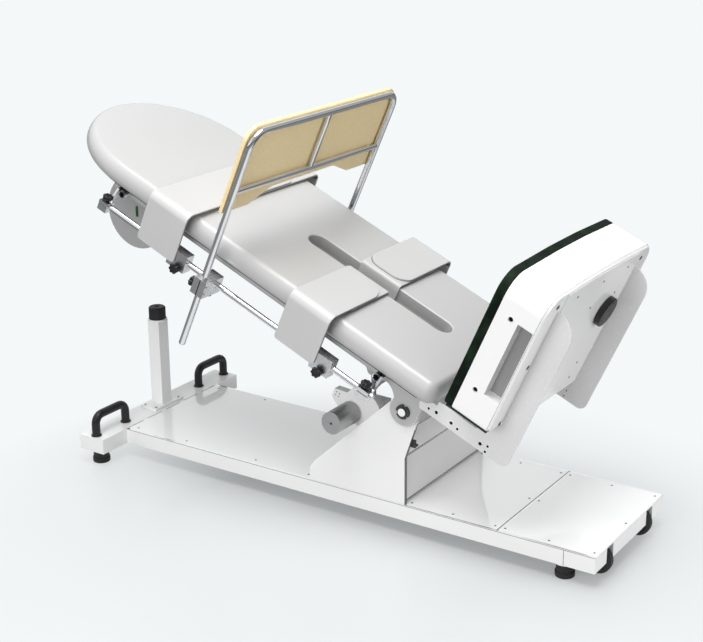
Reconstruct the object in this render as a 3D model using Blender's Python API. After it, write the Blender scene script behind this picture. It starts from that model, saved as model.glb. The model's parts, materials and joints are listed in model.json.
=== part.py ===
"""Pediatric tilt table: a low wheeled platform, a pedestal with a pivot, and a tilting bed
with side rails, body straps, a tray and a deep footboard. Metres, +Z up, +X from head to foot.
The origin is on the floor, under the middle of the whole table at its photographed tilt."""

import math

import bmesh
import bpy
from mathutils import Matrix, Vector

# Shared clearances and details
gap = 0.0003
running_gap = 0.0001
slide_gap = 0.0005
shaft_segments = 48
weld_depth = 0.0010
sharp_angle_deg = 32

# Platform
foot_end_x = 0.9857
deck_half_width = 0.250
deck_length = 1.770
crossbar_depth = 0.106
crossbar_half_length = 0.373
floor_gap = 0.050
tube_height = 0.050
side_tube_width = 0.040
cross_tube_width = 0.040
end_member_depth = 0.100
panel_thickness = 0.003
panel_seam = 0.0008
foot_panel_length = 0.3185

# Feet and transport wheels
foot_radius = 0.030
foot_flange_radius = 0.034
foot_flange_height = 0.005
end_foot_inset = 0.110
end_foot_set = 0.038
crossbar_foot_set = 0.045
wheel_radius = 0.047
wheel_width = 0.034
wheel_set = 0.105
wheel_inset = 0.038
wheel_clearance = 0.006
axle_radius = 0.008
hanger_thickness = 0.006
hanger_radius = 0.014

# Post under the head end, and the two carry handles
post_width = 0.050
post_height = 0.3200
post_plate_length = 0.074
post_plate_width = 0.152
post_plate_thickness = 0.008
post_flange_radius = 0.034
post_flange_thickness = 0.005
cap_radius = 0.030
cap_hole_radius = 0.007
cap_hole_depth = 0.012
rest_gap = 0.0010
handle_back = 0.047
handle_set = 0.021
handle_span = 0.149
handle_height = 0.086
handle_bar_radius = 0.0145
handle_bend = 0.030

# Pedestal
pivot_inset = 0.6365
pivot_height = 0.315
cheek_thickness = 0.006
cheek_head_radius = 0.050
cheek_rear_inset = 0.994
cheek_front_inset = 0.638
cheek_heel = 0.040
cheek_toe_run = 0.018
cheek_toe_rise = 0.028
cheek_lean_deg = 42.8
cover_thickness = 0.003
cover_setback = 0.010
cover_lip = 0.020
cover_bend_height = 0.156
cover_top_height = 0.262
cover_lean_deg = 18.5
pin_radius = 0.0135
pin_head_radius = 0.0195
pin_head_length = 0.007
pin_end_length = 0.003
lock_ring_radius = 0.023
lock_ring_width = 0.008
lock_notch_width = 0.010
lock_notch_depth = 0.0045

# Bed frame, in the bed's own frame: u runs down to the foot end, n is up out of the bed
tilt_deg = 24.0
side_plate_play = 0.0035
side_plate_thickness = 0.006
side_plate_low = 0.0530
side_plate_head_u = -1.240
side_plate_foot_u = 0.052
lug_radius = 0.050
lug_sweep_radius = 0.0566
lug_sweep_u = -0.0979
frame_tube = 0.024
frame_tube_low = 0.0555
frame_tube_height = 0.0275
rail_tube_radius = 0.0135
rail_tube_bore = 0.0100
rail_tube_bore_depth = 0.040
rail_tube_reach = 0.0405
head_tube_u = -1.177
foot_tube_u = -0.110
board_thickness = 0.009
board_overhang = 0.0065
board_foot_u = 0.030

# Mattress
mattress_thickness = 0.0739
mattress_crown = 0.0040
mattress_overhang = 0.0560
mattress_foot_u = 0.088
mattress_head_u = -1.5215
mattress_corner = 0.040
groove_start_u = -0.635
groove_end_u = -0.062
groove_half_width = 0.037
groove_depth = 0.050

# Side rails and their end clamps
rail_stand_off = 0.040
rail_n = 0.030
rail_radius = 0.010
rail_overrun = 0.032
arm_thickness = 0.008
arm_drop = 0.047
end_clamp_length = 0.036
end_clamp_width = 0.034
end_clamp_low = 0.010
end_clamp_high = 0.044
end_clamp_head_set = 0.0185
end_clamp_foot_set = -0.0035
clamp_slit = 0.003
knob_radius = 0.0175
knob_height = 0.020
knob_collar_radius = 0.008
knob_collar_height = 0.005
knob_lobes = 6
knob_lobe_depth = 0.0020

# Straps
strap = 0.0055
strap_lift = 0.0066
strap_stand_off = 0.016
strap_low = 0.012
strap_bend = 0.026
strap_overlap = 0.0003
chest_u = -0.951
chest_width = 0.158
chest_end_y = 0.205
chest_under_y = -0.020
chest_knob_offset = 0.0145
knee_u = -0.3685
knee_width = 0.157
knee_end_y = 0.062
knee_under_y = 0.250
knee_bend = 0.007
knee_knob_offset = 0.0235
groove_play = 0.0006
band_clamp_length = 0.072
band_clamp_width = 0.036
band_clamp_low = -0.004
band_clamp_high = 0.058
chest_clamp_reach = 0.042
knee_clamp_reach = 0.056
band_knob_n = 0.003

# Tray
tray_u = -0.726
tray_leg_stand_off = 0.0525
tray_tube = 0.0110
tray_cross_tube = 0.0095
tray_divider_tube = 0.0085
tray_foot_n = -0.193
tray_top_n = 0.578
tray_cross_n = 0.374
tray_bend = 0.052
tray_board_thickness = 0.012
tray_board_overhang = 0.0125
tray_board_low = 0.293
tray_board_tab = 0.275
tray_board_notch_half = 0.170
tray_board_notch = 0.336
tray_board_high = 0.592
tray_board_corner = 0.050
tray_clamp_half = 0.024
tray_clamp_wall = 0.008
tray_clamp_low = 0.000
tray_clamp_high = 0.058
tray_knob_n = 0.025
tray_stud_radius = 0.008
tray_stud_length = 0.012

# Footboard and the ear plates that carry it
pad_u = 0.130
pad_thickness = 0.0297
pad_edge = 0.004
shell_depth = 0.130
shell_edge = 0.006
footboard_low = 0.170
footboard_high = 0.643
footboard_foot_corner = 0.010
footboard_corner = 0.070
footboard_arch = 0.008
back_panel = 0.004
back_panel_inset = 0.012
back_panel_low = 0.130
grip_u = 0.2553
grip_width = 0.0505
grip_low = 0.270
grip_high = 0.517
grip_corner = 0.003
grip_depth = 0.036
side_hole_radius = 0.008
side_hole_depth = 0.012
side_hole_set = 0.004
ear_thickness = 0.004
ear_start_u = 0.036
ear_relief = 0.002
ear_foot_u = 0.3620
ear_low = 0.0470
ear_arm_high = 0.1050
ear_high = 0.5700
ear_corner = 0.026
ear_top_corner = 0.070
ear_bolt_radius = 0.0030
ear_slot_radius = 0.0045
ear_flange_reach = 0.012
ear_flange_low = 0.135
ear_flange_high = 0.545
rear_cap_y = 0.149
rear_cap_n = 0.444
rear_cap_radius = 0.050
rear_cap_depth = 0.020
rear_cap_edge = 0.003

# Round cheeks under the head end
disc_u = -1.2000
disc_n = -0.0480
disc_radius = 0.1280
disc_y = 0.142
disc_thickness = 0.012
disc_slot_width = 0.010
disc_slot_height = 0.038
disc_hole_radius = 0.004
disc_hole_x = 0.042
disc_hole_z = -0.0925
disc_spacer_radius = 0.009
disc_spacer_u = -1.275
disc_spacer_n = 0.030

# Lift drive: a screw hangs from the bed and runs through a gear motor that swings in a stand.
# Both hinges lie at one distance from the main pivot, so both swing by half the tilt.
drive_radius = 0.1803
gear_angle_deg = 199.9
screw_angle_deg = 20.0
drive_y = -0.165
screw_radius = 0.009
screw_length = 0.305
screw_eye_radius = 0.014
screw_eye_width = 0.012
drive_pin_radius = 0.006
bracket_play = 0.004
bracket_thickness = 0.006
bracket_tip_radius = 0.016
bracket_head_u = -0.285
bracket_foot_u = -0.150
lift_tube_u = -0.205
lift_tube_width = 0.030
gear_half_height = 0.036
gear_half_width = 0.044
gear_inner_y = -0.130
slab_inner_y = -0.196
slab_outer_y = -0.222
trunnion_radius = 0.010
stand_play = 0.006
stand_thickness = 0.006
stand_spread = 0.024
stand_head_radius = 0.018
stand_foot_half = 0.045
motor_u = -0.168
motor_n = -0.139
motor_radius = 0.0355
motor_edge = 0.003
motor_length = 0.118
slab_back = 0.085
slab_shoulder = 0.040
slab_neck = 0.025
slab_nose = 0.055
slab_front = 0.0785
slab_foot = 0.050
slab_top = 0.0845
slab_front_top = 0.0700
slab_shoulder_top = 0.0475
slab_edge = 0.0325
slab_edge_low = 0.0025
flange_hole_back = 0.068
flange_hole_rise = 0.020
flange_hole_radius = 0.0025
flange_hole_pitch = 0.012

# Values that follow from the ones above
tilt = math.radians(tilt_deg)
tube_top = floor_gap + tube_height
deck_top = tube_top + gap + panel_thickness
crossbar_x = foot_end_x - deck_length
post_x = crossbar_x - crossbar_depth / 2
handle_x = crossbar_x - handle_back
handle_leg_high_y = crossbar_half_length - handle_set
handle_leg_low_y = handle_leg_high_y - handle_span
crossbar_foot_y = crossbar_half_length - crossbar_foot_set
end_foot_y = deck_half_width - end_foot_set
wheel_y = deck_half_width - wheel_set
pivot_x = foot_end_x - pivot_inset
pivot_z = deck_top + pivot_height
cheek_rear_x = foot_end_x - cheek_rear_inset
cheek_front_x = foot_end_x - cheek_front_inset
wheel_x = foot_end_x - wheel_inset
wheel_z = wheel_radius + gap
notch_half = wheel_width / 2 + wheel_clearance
side_plate_inner_y = deck_half_width + side_plate_play
side_plate_outer_y = side_plate_inner_y + side_plate_thickness
board_half_width = side_plate_outer_y + board_overhang
mattress_half_width = side_plate_outer_y + mattress_overhang
rail_tube_half = side_plate_outer_y + rail_tube_reach
rail_y = rail_tube_half + rail_stand_off
strap_drop_y = rail_y + strap_stand_off
tray_leg_y = rail_y + tray_leg_stand_off
tray_board_half = tray_leg_y + tray_board_overhang
frame_tube_high = frame_tube_low + frame_tube_height
rail_tube_n = frame_tube_low + rail_tube_radius
board_low = frame_tube_high + gap
board_high = board_low + board_thickness
mattress_low = board_high + gap
mattress_high = mattress_low + mattress_thickness
strap_level = mattress_high + mattress_crown + strap_lift + strap / 2
strap_upper_level = strap_level + strap - strap_overlap
head_centre_u = mattress_head_u + mattress_half_width
shell_u = pad_u + pad_thickness + gap
shell_back_u = shell_u + shell_depth
ear_inner_y = side_plate_outer_y + gap
ear_post_u = shell_back_u + gap
footboard_half = strap_drop_y - side_hole_set
back_panel_half = ear_inner_y - ear_flange_reach - gap
gear_angle = math.radians(gear_angle_deg)
gear_x = drive_radius * math.cos(gear_angle)
gear_z = drive_radius * math.sin(gear_angle)
screw_u = drive_radius * math.cos(gear_angle - math.radians(screw_angle_deg))
screw_n = drive_radius * math.sin(gear_angle - math.radians(screw_angle_deg))

finishes = {
    "white_paint": ((0.86, 0.87, 0.88), 0.25, 0.0),
    "grey_paint": ((0.62, 0.63, 0.64), 0.35, 0.0),
    "white_strap": ((0.88, 0.88, 0.88), 0.45, 0.0),
    "coated_fabric": ((0.80, 0.80, 0.80), 0.30, 0.0),
    "chrome": ((0.90, 0.90, 0.92), 0.08, 1.0),
    "steel": ((0.70, 0.70, 0.72), 0.25, 1.0),
    "black_rubber": ((0.02, 0.02, 0.02), 0.60, 0.0),
    "black_plastic": ((0.02, 0.02, 0.02), 0.35, 0.0),
    "black_board": ((0.03, 0.03, 0.03), 0.60, 0.0),
    "green_rubber": ((0.045, 0.075, 0.050), 0.55, 0.0),
    "beige_board": ((0.68, 0.55, 0.33), 0.50, 0.0),
    "motor_grey": ((0.45, 0.45, 0.46), 0.45, 0.0),
}


# Helpers


def clear_scene():
    """Takes the startup objects away."""
    for obj in list(bpy.data.objects):
        bpy.data.objects.remove(obj, do_unlink=True)


def material(finish):
    """One Principled material for each finish."""
    made = bpy.data.materials.get(finish)
    if made:
        return made
    color, roughness, metallic = finishes[finish]
    made = bpy.data.materials.new(finish)
    made.use_nodes = True
    shader = made.node_tree.nodes["Principled BSDF"]
    shader.inputs["Base Color"].default_value = (*color, 1.0)
    shader.inputs["Roughness"].default_value = roughness
    shader.inputs["Metallic"].default_value = metallic
    return made


def bare_object(name, bm):
    """Links a bmesh as an object at the origin, with its normals out."""
    bmesh.ops.recalc_face_normals(bm, faces=bm.faces)
    mesh = bpy.data.meshes.new(name)
    bm.to_mesh(mesh)
    bm.free()
    obj = bpy.data.objects.new(name, mesh)
    bpy.context.scene.collection.objects.link(obj)
    return obj


def solid(name, bm, finish, parent, place=(0.0, 0.0, 0.0), steps=()):
    """One named piece. Each step welds shapes on or cuts them out, in order, before it is shaded."""
    obj = bare_object(name, bm)
    helpers = []
    for kind, shapes in steps:
        for shape in shapes:
            helper = bare_object(name + "_helper", shape)
            helpers.append(helper)
            boolean = obj.modifiers.new(kind, "BOOLEAN")
            boolean.operation = "UNION" if kind == "weld" else "DIFFERENCE"
            boolean.solver = "EXACT"
            boolean.object = helper
    if helpers:
        depsgraph = bpy.context.evaluated_depsgraph_get()
        result = bpy.data.meshes.new_from_object(obj.evaluated_get(depsgraph))
        obj.modifiers.clear()
        obj.data = result
        for helper in helpers:
            bpy.data.objects.remove(helper, do_unlink=True)
    obj.data.name = name
    obj.data.materials.clear()
    obj.data.materials.append(material(finish))
    obj.data.shade_smooth()
    obj.data.set_sharp_from_angle(angle=math.radians(sharp_angle_deg))
    obj.parent = parent
    obj.location = place
    return obj


def add_empty(name, place, parent=None, turn=0.0):
    """An empty that carries one group of pieces."""
    obj = bpy.data.objects.new(name, None)
    bpy.context.scene.collection.objects.link(obj)
    obj.parent = parent
    obj.location = place
    obj.rotation_euler = (0.0, turn, 0.0)
    return obj


def skin(rings):
    """Skins point rings of one count into a closed solid."""
    bm = bmesh.new()
    made = [[bm.verts.new(point) for point in ring] for ring in rings]
    count = len(made[0])
    for low, high in zip(made, made[1:]):
        for i in range(count):
            j = (i + 1) % count
            bm.faces.new((low[i], low[j], high[j], high[i]))
    bm.faces.new(list(reversed(made[0])))
    bm.faces.new(made[-1])
    return bm


def box(corner, opposite):
    """A box between two opposite corners, given in any order."""
    size = [abs(opposite[i] - corner[i]) for i in range(3)]
    middle = [(opposite[i] + corner[i]) / 2 for i in range(3)]
    bm = bmesh.new()
    matrix = Matrix.Translation(middle) @ Matrix.Diagonal((*size, 1.0))
    bmesh.ops.create_cube(bm, size=1.0, matrix=matrix)
    return bm


def plate_y(outline, y_start, y_end):
    """Sweeps an outline of (x, z) points along Y."""
    return skin([[(x, y, z) for x, z in outline] for y in (y_start, y_end)])


def plate_x(outline, x_start, x_end):
    """Sweeps an outline of (y, z) points along X."""
    return skin([[(x, y, z) for y, z in outline] for x in (x_start, x_end)])


def turned(start, axis, profile, segments=24):
    """Turns a profile of (distance along, radius) pairs about an axis."""
    axis = Vector(axis).normalized()
    side = axis.orthogonal().normalized()
    other = axis.cross(side)
    rings = []
    for along, radius in profile:
        ring = []
        for i in range(segments):
            angle = 2 * math.pi * i / segments
            spoke = side * math.cos(angle) + other * math.sin(angle)
            ring.append(Vector(start) + axis * along + spoke * radius)
        rings.append(ring)
    return skin(rings)


def rod(start, end, radius, segments=24):
    """A round bar between two points."""
    along = Vector(end) - Vector(start)
    return turned(start, along, ((0.0, radius), (along.length, radius)), segments)


def cross_rod(x, z, y_start, y_end, radius, segments=24):
    """A round bar along Y."""
    return rod((x, y_start, z), (x, y_end, z), radius, segments)


def arc(centre, radius, start_deg, end_deg, steps):
    """Points on an arc, both ends included."""
    points = []
    for i in range(steps + 1):
        angle = math.radians(start_deg + (end_deg - start_deg) * i / steps)
        points.append((centre[0] + radius * math.cos(angle), centre[1] + radius * math.sin(angle)))
    return points


def rounded_rectangle(centre, width, height, radius, steps=4):
    """The outline of a rectangle with round corners."""
    reach_x = width / 2 - radius
    reach_z = height / 2 - radius
    points = []
    for quarter, (sign_x, sign_z) in enumerate(((1, 1), (-1, 1), (-1, -1), (1, -1))):
        corner = (centre[0] + sign_x * reach_x, centre[1] + sign_z * reach_z)
        points += arc(corner, radius, 90 * quarter, 90 * quarter + 90, steps)
    return points


def bent_path(points, radius, steps=5):
    """A path through the points with each inner corner rounded."""
    path = [Vector(points[0])]
    for before, corner, after in zip(points, points[1:], points[2:]):
        before, corner, after = Vector(before), Vector(corner), Vector(after)
        arriving = (before - corner).normalized()
        leaving = (after - corner).normalized()
        half = arriving.angle(leaving) / 2
        reach = radius / math.tan(half)
        centre = corner + (arriving + leaving).normalized() * (radius / math.sin(half))
        first = (corner + arriving * reach - centre).normalized()
        last = (corner + leaving * reach - centre).normalized()
        for i in range(steps + 1):
            path.append(centre + first.slerp(last, i / steps) * radius)
    path.append(Vector(points[-1]))
    return path


def bent_tube(path, radius, side, segments=16):
    """A round bar along a path that lies in the plane square to side."""
    side = Vector(side).normalized()
    rings = []
    for i, point in enumerate(path):
        before = path[max(i - 1, 0)]
        after = path[min(i + 1, len(path) - 1)]
        across = (after - before).normalized().cross(side)
        ring = []
        for k in range(segments):
            angle = 2 * math.pi * k / segments
            ring.append(point + (side * math.cos(angle) + across * math.sin(angle)) * radius)
        rings.append(ring)
    return skin(rings)


def strip_outline(path, thickness):
    """The closed outline of a strip of even thickness that follows a path of flat points."""
    left = []
    right = []
    for i, point in enumerate(path):
        point = Vector(point)
        arriving = (point - Vector(path[i - 1])).normalized() if i > 0 else None
        leaving = (Vector(path[i + 1]) - point).normalized() if i < len(path) - 1 else None
        arriving = arriving or leaving
        leaving = leaving or arriving
        along = (arriving + leaving).normalized()
        reach = thickness / 2 / along.dot(leaving)
        normal = Vector((-along.y, along.x)) * reach
        left.append(tuple(point + normal))
        right.append(tuple(point - normal))
    return left + list(reversed(right))


def mirrored(outline, side):
    """An outline of (y, n) points on the near or the far side."""
    return [(side * y, n) for y, n in outline]


def sides():
    """The near side, towards -Y, and the far side, each with its sign and name."""
    return ((-1, "near"), (1, "far"))


def from_bed(u, n):
    """Where a bed point lies from the pivot when the bed has its photographed tilt."""
    return (u * math.cos(tilt) + n * math.sin(tilt), -u * math.sin(tilt) + n * math.cos(tilt))


def to_bed(x, z):
    """The bed coordinates of a point that is stated from the pivot along the world's axes."""
    return (x * math.cos(tilt) - z * math.sin(tilt), x * math.sin(tilt) + z * math.cos(tilt))


# The platform


def foot_spots():
    """Where the four feet stand, with their names."""
    spots = []
    for side, name in sides():
        spots.append((crossbar_x - crossbar_depth / 2, side * crossbar_foot_y, "head_" + name))
        spots.append((foot_end_x - end_foot_inset, side * end_foot_y, "end_" + name))
    return spots


def frame_bays():
    """The open bays between the frame's cross members."""
    inner = deck_half_width - side_tube_width
    spans = (
        (crossbar_x, cheek_rear_x),
        (cheek_rear_x + cross_tube_width, cheek_front_x - cross_tube_width),
        (cheek_front_x, foot_end_x - end_member_depth),
    )
    bays = []
    for low, high in spans:
        bays.append(box((low, -inner, 0.0), (high, inner, tube_top + floor_gap)))
    return bays


def wheel_notches():
    """The notches in the end member that the wheels turn in."""
    start = wheel_x - wheel_radius - wheel_clearance
    notches = []
    for side, _ in sides():
        y = side * wheel_y
        top = tube_top - panel_thickness
        notches.append(box((start, y - notch_half, 0.0), (foot_end_x + 0.01, y + notch_half, top)))
    return notches


def wheel_axles():
    """Fixed axles across the notches, and the small plates below the frame that hold them."""
    parts = []
    for side, _ in sides():
        y = side * wheel_y
        reach = notch_half + hanger_thickness / 2
        parts.append(cross_rod(wheel_x, wheel_z, y - reach, y + reach, axle_radius, shaft_segments))
        for end in (-1, 1):
            inner = y + end * notch_half
            outline = arc((wheel_x, wheel_z), hanger_radius, 180, 360, 8)
            outline.append((wheel_x + hanger_radius, floor_gap + weld_depth))
            outline.append((wheel_x - hanger_radius, floor_gap + weld_depth))
            parts.append(plate_y(outline, inner, inner + end * hanger_thickness))
    return parts


def base_frame(root):
    """Welded tube frame with its crossbar, foot flanges and wheel axles."""
    half = deck_half_width
    body = box((crossbar_x - weld_depth, -half, floor_gap), (foot_end_x, half, tube_top))
    crossbar = box(
        (crossbar_x - crossbar_depth, -crossbar_half_length, floor_gap),
        (crossbar_x, crossbar_half_length, deck_top),
    )
    flanges = []
    for x, y, _ in foot_spots():
        start = (x, y, floor_gap - foot_flange_height)
        end = (x, y, floor_gap + weld_depth)
        flanges.append(rod(start, end, foot_flange_radius))
    steps = (
        ("cut", frame_bays()),
        ("weld", [crossbar] + flanges),
        ("cut", wheel_notches()),
        ("weld", wheel_axles()),
    )
    solid("base_frame", body, "white_paint", root, steps=steps)


def deck_panels(root):
    """Two thin cover panels, with a narrow seam between them."""
    seam_x = foot_end_x - foot_panel_length
    spans = (
        ("head", crossbar_x + gap, seam_x - panel_seam),
        ("foot", seam_x, foot_end_x),
    )
    for name, start, end in spans:
        low = (start, -deck_half_width, tube_top + gap)
        high = (end, deck_half_width, deck_top)
        solid("deck_panel_" + name, box(low, high), "white_paint", root)


def rubber_feet(root):
    """Four black rubber feet."""
    top = floor_gap - foot_flange_height - gap
    profile = (
        (0.0, foot_radius - 0.002),
        (0.002, foot_radius),
        (0.014, foot_radius),
        (0.018, foot_radius - 0.003),
        (top, foot_radius - 0.003),
    )
    for x, y, name in foot_spots():
        shape = turned((0, 0, 0), (0, 0, 1), profile)
        solid("foot_" + name, shape, "black_rubber", root, (x, y, 0.0))


def wheels(root):
    """Two transport wheels, each on its own axis."""
    half = wheel_width / 2
    tread = wheel_width / 4
    profile = (
        (-half, wheel_radius - 0.010),
        (-tread, wheel_radius),
        (tread, wheel_radius),
        (half, wheel_radius - 0.010),
    )
    for side, name in sides():
        shape = turned((0, 0, 0), (0, 1, 0), profile, 32)
        bore = cross_rod(
            0, 0, -wheel_width, wheel_width, axle_radius + running_gap, shaft_segments
        )
        place = (wheel_x, side * wheel_y, wheel_z)
        solid("wheel_" + name, shape, "black_rubber", root, place, steps=(("cut", [bore]),))


def post(root):
    """Square post with a base plate and a round top plate, and the rubber cap the bed rests on."""
    x = post_x
    half = post_width / 2
    foot = deck_top + gap
    top = deck_top + post_height
    plate = box(
        (x - post_plate_length / 2, -post_plate_width / 2, foot),
        (x + post_plate_length / 2, post_plate_width / 2, foot + post_plate_thickness),
    )
    column = box((x - half, -half, foot + post_plate_thickness / 2), (x + half, half, top))
    flange = rod((x, 0, top - weld_depth), (x, 0, top + post_flange_thickness), post_flange_radius)
    solid("post", plate, "white_paint", root, steps=(("weld", [column, flange]),))
    start = top + post_flange_thickness + gap
    height = pivot_z + frame_tube_low - rest_gap - start
    edge = 0.004
    profile = (
        (0.0, cap_radius),
        (height - edge, cap_radius),
        (height, cap_radius - edge),
        (height, cap_hole_radius),
        (height - cap_hole_depth, cap_hole_radius),
    )
    cap = turned((0, 0, 0), (0, 0, 1), profile)
    solid("post_cap", cap, "black_rubber", root, (x, 0, start))


def carry_handles(root):
    """Two round-bar handles that stand across the crossbar."""
    x = handle_x
    low = deck_top + gap
    high = deck_top + handle_height - handle_bar_radius
    for side, name in sides():
        points = [
            (x, side * handle_leg_low_y, low),
            (x, side * handle_leg_low_y, high),
            (x, side * handle_leg_high_y, high),
            (x, side * handle_leg_high_y, low),
        ]
        bar = bent_tube(bent_path(points, handle_bend), handle_bar_radius, (1, 0, 0))
        solid("carry_handle_" + name, bar, "black_plastic", root)


# The pedestal


def cheek_outline():
    """Side plate outline: a wide foot that leans up to a round head at the pivot."""
    foot = deck_top + gap
    points = [(cheek_front_x, foot), (cheek_front_x, deck_top + cover_bend_height)]
    points += arc((pivot_x, pivot_z), cheek_head_radius, -cover_lean_deg, 90 + cheek_lean_deg, 12)
    points.append((cheek_rear_x + cheek_toe_run, foot + cheek_heel + cheek_toe_rise))
    points.append((cheek_rear_x, foot + cheek_heel))
    points.append((cheek_rear_x, foot))
    return points


def pedestal(root):
    """Two side plates with the bent front cover between them."""
    for side, name in sides():
        outer = side * deck_half_width
        inner = side * (deck_half_width - cheek_thickness)
        ends = (inner - side * 0.01, outer + side * 0.01)
        bore = cross_rod(pivot_x, pivot_z, *ends, pin_radius + running_gap, shaft_segments)
        plate = plate_y(cheek_outline(), inner, outer)
        solid("pedestal_cheek_" + name, plate, "white_paint", root, steps=(("cut", [bore]),))
    half = deck_half_width - cheek_thickness - gap
    foot = deck_top + gap + cover_thickness / 2
    face_x = cheek_front_x - cover_setback
    lean = (cover_top_height - cover_bend_height) * math.tan(math.radians(cover_lean_deg))
    path = [
        (face_x - cover_lip, foot),
        (face_x, foot),
        (face_x, deck_top + cover_bend_height),
        (face_x + lean, deck_top + cover_top_height),
    ]
    cover = plate_y(strip_outline(path, cover_thickness), -half, half)
    solid("pedestal_front_cover", cover, "white_paint", root)


def pivot_pins(root):
    """A headed pin each side, with the notched ring that locks it."""
    head_start = deck_half_width - cheek_thickness - gap - pin_head_length
    ring_start = side_plate_outer_y + gap - head_start
    ring_end = ring_start + lock_ring_width
    profile = (
        (0.0, pin_head_radius),
        (pin_head_length, pin_head_radius),
        (pin_head_length, pin_radius),
        (ring_start, pin_radius),
        (ring_start, lock_ring_radius),
        (ring_end, lock_ring_radius),
        (ring_end, pin_radius),
        (ring_end + pin_end_length, pin_radius),
    )
    for side, name in sides():
        notches = []
        for k in range(3):
            notch = box(
                (lock_ring_radius - lock_notch_depth, side * ring_start, -lock_notch_width / 2),
                (lock_ring_radius * 1.2, side * (ring_end + 0.01), lock_notch_width / 2),
            )
            turn = Matrix.Rotation(math.radians(50 + 120 * k), 4, "Y")
            bmesh.ops.transform(notch, matrix=turn, verts=notch.verts)
            notches.append(notch)
        shape = turned((0, 0, 0), (0, side, 0), profile, shaft_segments)
        place = (pivot_x, side * head_start, pivot_z)
        solid("pivot_pin_" + name, shape, "steel", root, place, steps=(("cut", notches),))


# The lift drive


def screw_line():
    """Unit direction from the gear hinge to the screw hinge at rest, from the world's axes."""
    x, z = from_bed(screw_u, screw_n)
    reach = math.hypot(x - gear_x, z - gear_z)
    return (x - gear_x) / reach, (z - gear_z) / reach


def gear_stand(root):
    """Two upright plates on a foot, bored for the gear motor's trunnion."""
    x = pivot_x + gear_x
    z = pivot_z + gear_z
    low = deck_top + gap
    first = gear_inner_y + stand_play
    plates = []
    for y in (first, first + stand_spread):
        outline = [(x - stand_foot_half, low), (x + stand_foot_half, low)]
        outline += arc((x, z), stand_head_radius, 0, 180, 8)
        plates.append(plate_y(outline, y, y + stand_thickness))
    end = first + stand_spread + stand_thickness
    foot = box(
        (x - stand_foot_half, first, low),
        (x + stand_foot_half, end, low + stand_thickness),
    )
    hole = trunnion_radius + running_gap
    bore = cross_rod(x, z, first - 0.01, end + 0.01, hole, shaft_segments)
    steps = (("weld", plates), ("cut", [bore]))
    solid("gear_stand", foot, "white_paint", root, steps=steps)


def gear_motor(root):
    """Gear housing that swings on its trunnion, with the motor out to the near side."""
    along_x, along_z = screw_line()
    corners = []
    for a, b in ((1, 1), (-1, 1), (-1, -1), (1, -1)):
        x = a * gear_half_width * along_z + b * gear_half_height * along_x
        z = -a * gear_half_width * along_x + b * gear_half_height * along_z
        corners.append((x, z))
    body = plate_y(corners, slab_inner_y, gear_inner_y)
    slab_points = (
        (-slab_back, slab_edge),
        (-slab_shoulder, slab_shoulder_top),
        (-slab_neck, slab_top),
        (slab_nose, slab_top),
        (slab_front, slab_front_top),
        (slab_front, slab_edge_low),
        (slab_foot, -slab_edge),
        (-slab_neck, -slab_edge),
        (-slab_back, slab_edge_low),
    )
    outline = []
    for u, n in slab_points:
        x, z = from_bed(motor_u + u, motor_n + n)
        outline.append((x - gear_x, z - gear_z))
    slab = plate_y(outline, slab_outer_y, slab_inner_y + weld_depth)
    motor_x, motor_z = from_bed(motor_u, motor_n)
    start = (motor_x - gear_x, slab_outer_y + weld_depth, motor_z - gear_z)
    profile = (
        (0.0, motor_radius),
        (motor_length - motor_edge, motor_radius),
        (motor_length, motor_radius - motor_edge),
    )
    motor = turned(start, (0, -1, 0), profile, 32)
    trunnion_end = gear_inner_y + stand_play + stand_spread + stand_thickness + stand_play
    trunnion_start = gear_inner_y - weld_depth
    trunnion = cross_rod(0, 0, trunnion_start, trunnion_end, trunnion_radius, shaft_segments)
    reach = gear_half_height * 2
    bore = rod(
        (-along_x * reach, drive_y, -along_z * reach),
        (along_x * reach, drive_y, along_z * reach),
        screw_radius + slide_gap,
        16,
    )
    holes = []
    for a in (-1, 1):
        for b in (-1, 1):
            u = motor_u - flange_hole_back + a * flange_hole_pitch / 2
            n = motor_n + flange_hole_rise + b * flange_hole_pitch / 2
            x, z = from_bed(u, n)
            hole = (x - gear_x, z - gear_z, slab_outer_y - 0.01, slab_inner_y + 0.01)
            holes.append(cross_rod(*hole, flange_hole_radius, 10))
    steps = (("weld", [slab, motor, trunnion]), ("cut", [bore] + holes))
    place = (pivot_x + gear_x, 0, pivot_z + gear_z)
    solid("gear_motor", body, "motor_grey", root, place, steps=steps)


def lift_screw(bed):
    """Screw with an eye at the bed's bracket; it runs down through the gear housing."""
    gear_u, gear_n = to_bed(gear_x, gear_z)
    reach = math.hypot(gear_u - screw_u, gear_n - screw_n)
    along = ((gear_u - screw_u) / reach, (gear_n - screw_n) / reach)
    half = screw_eye_width / 2
    eye = cross_rod(0, 0, -half, half, screw_eye_radius)
    start = (along[0] * drive_pin_radius, 0, along[1] * drive_pin_radius)
    end = (along[0] * screw_length, 0, along[1] * screw_length)
    shaft = rod(start, end, screw_radius, 16)
    hole = cross_rod(0, 0, -0.02, 0.02, drive_pin_radius + running_gap, shaft_segments)
    steps = (("weld", [shaft]), ("cut", [hole]))
    solid("lift_screw", eye, "steel", bed, (screw_u, drive_y, screw_n), steps=steps)


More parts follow.
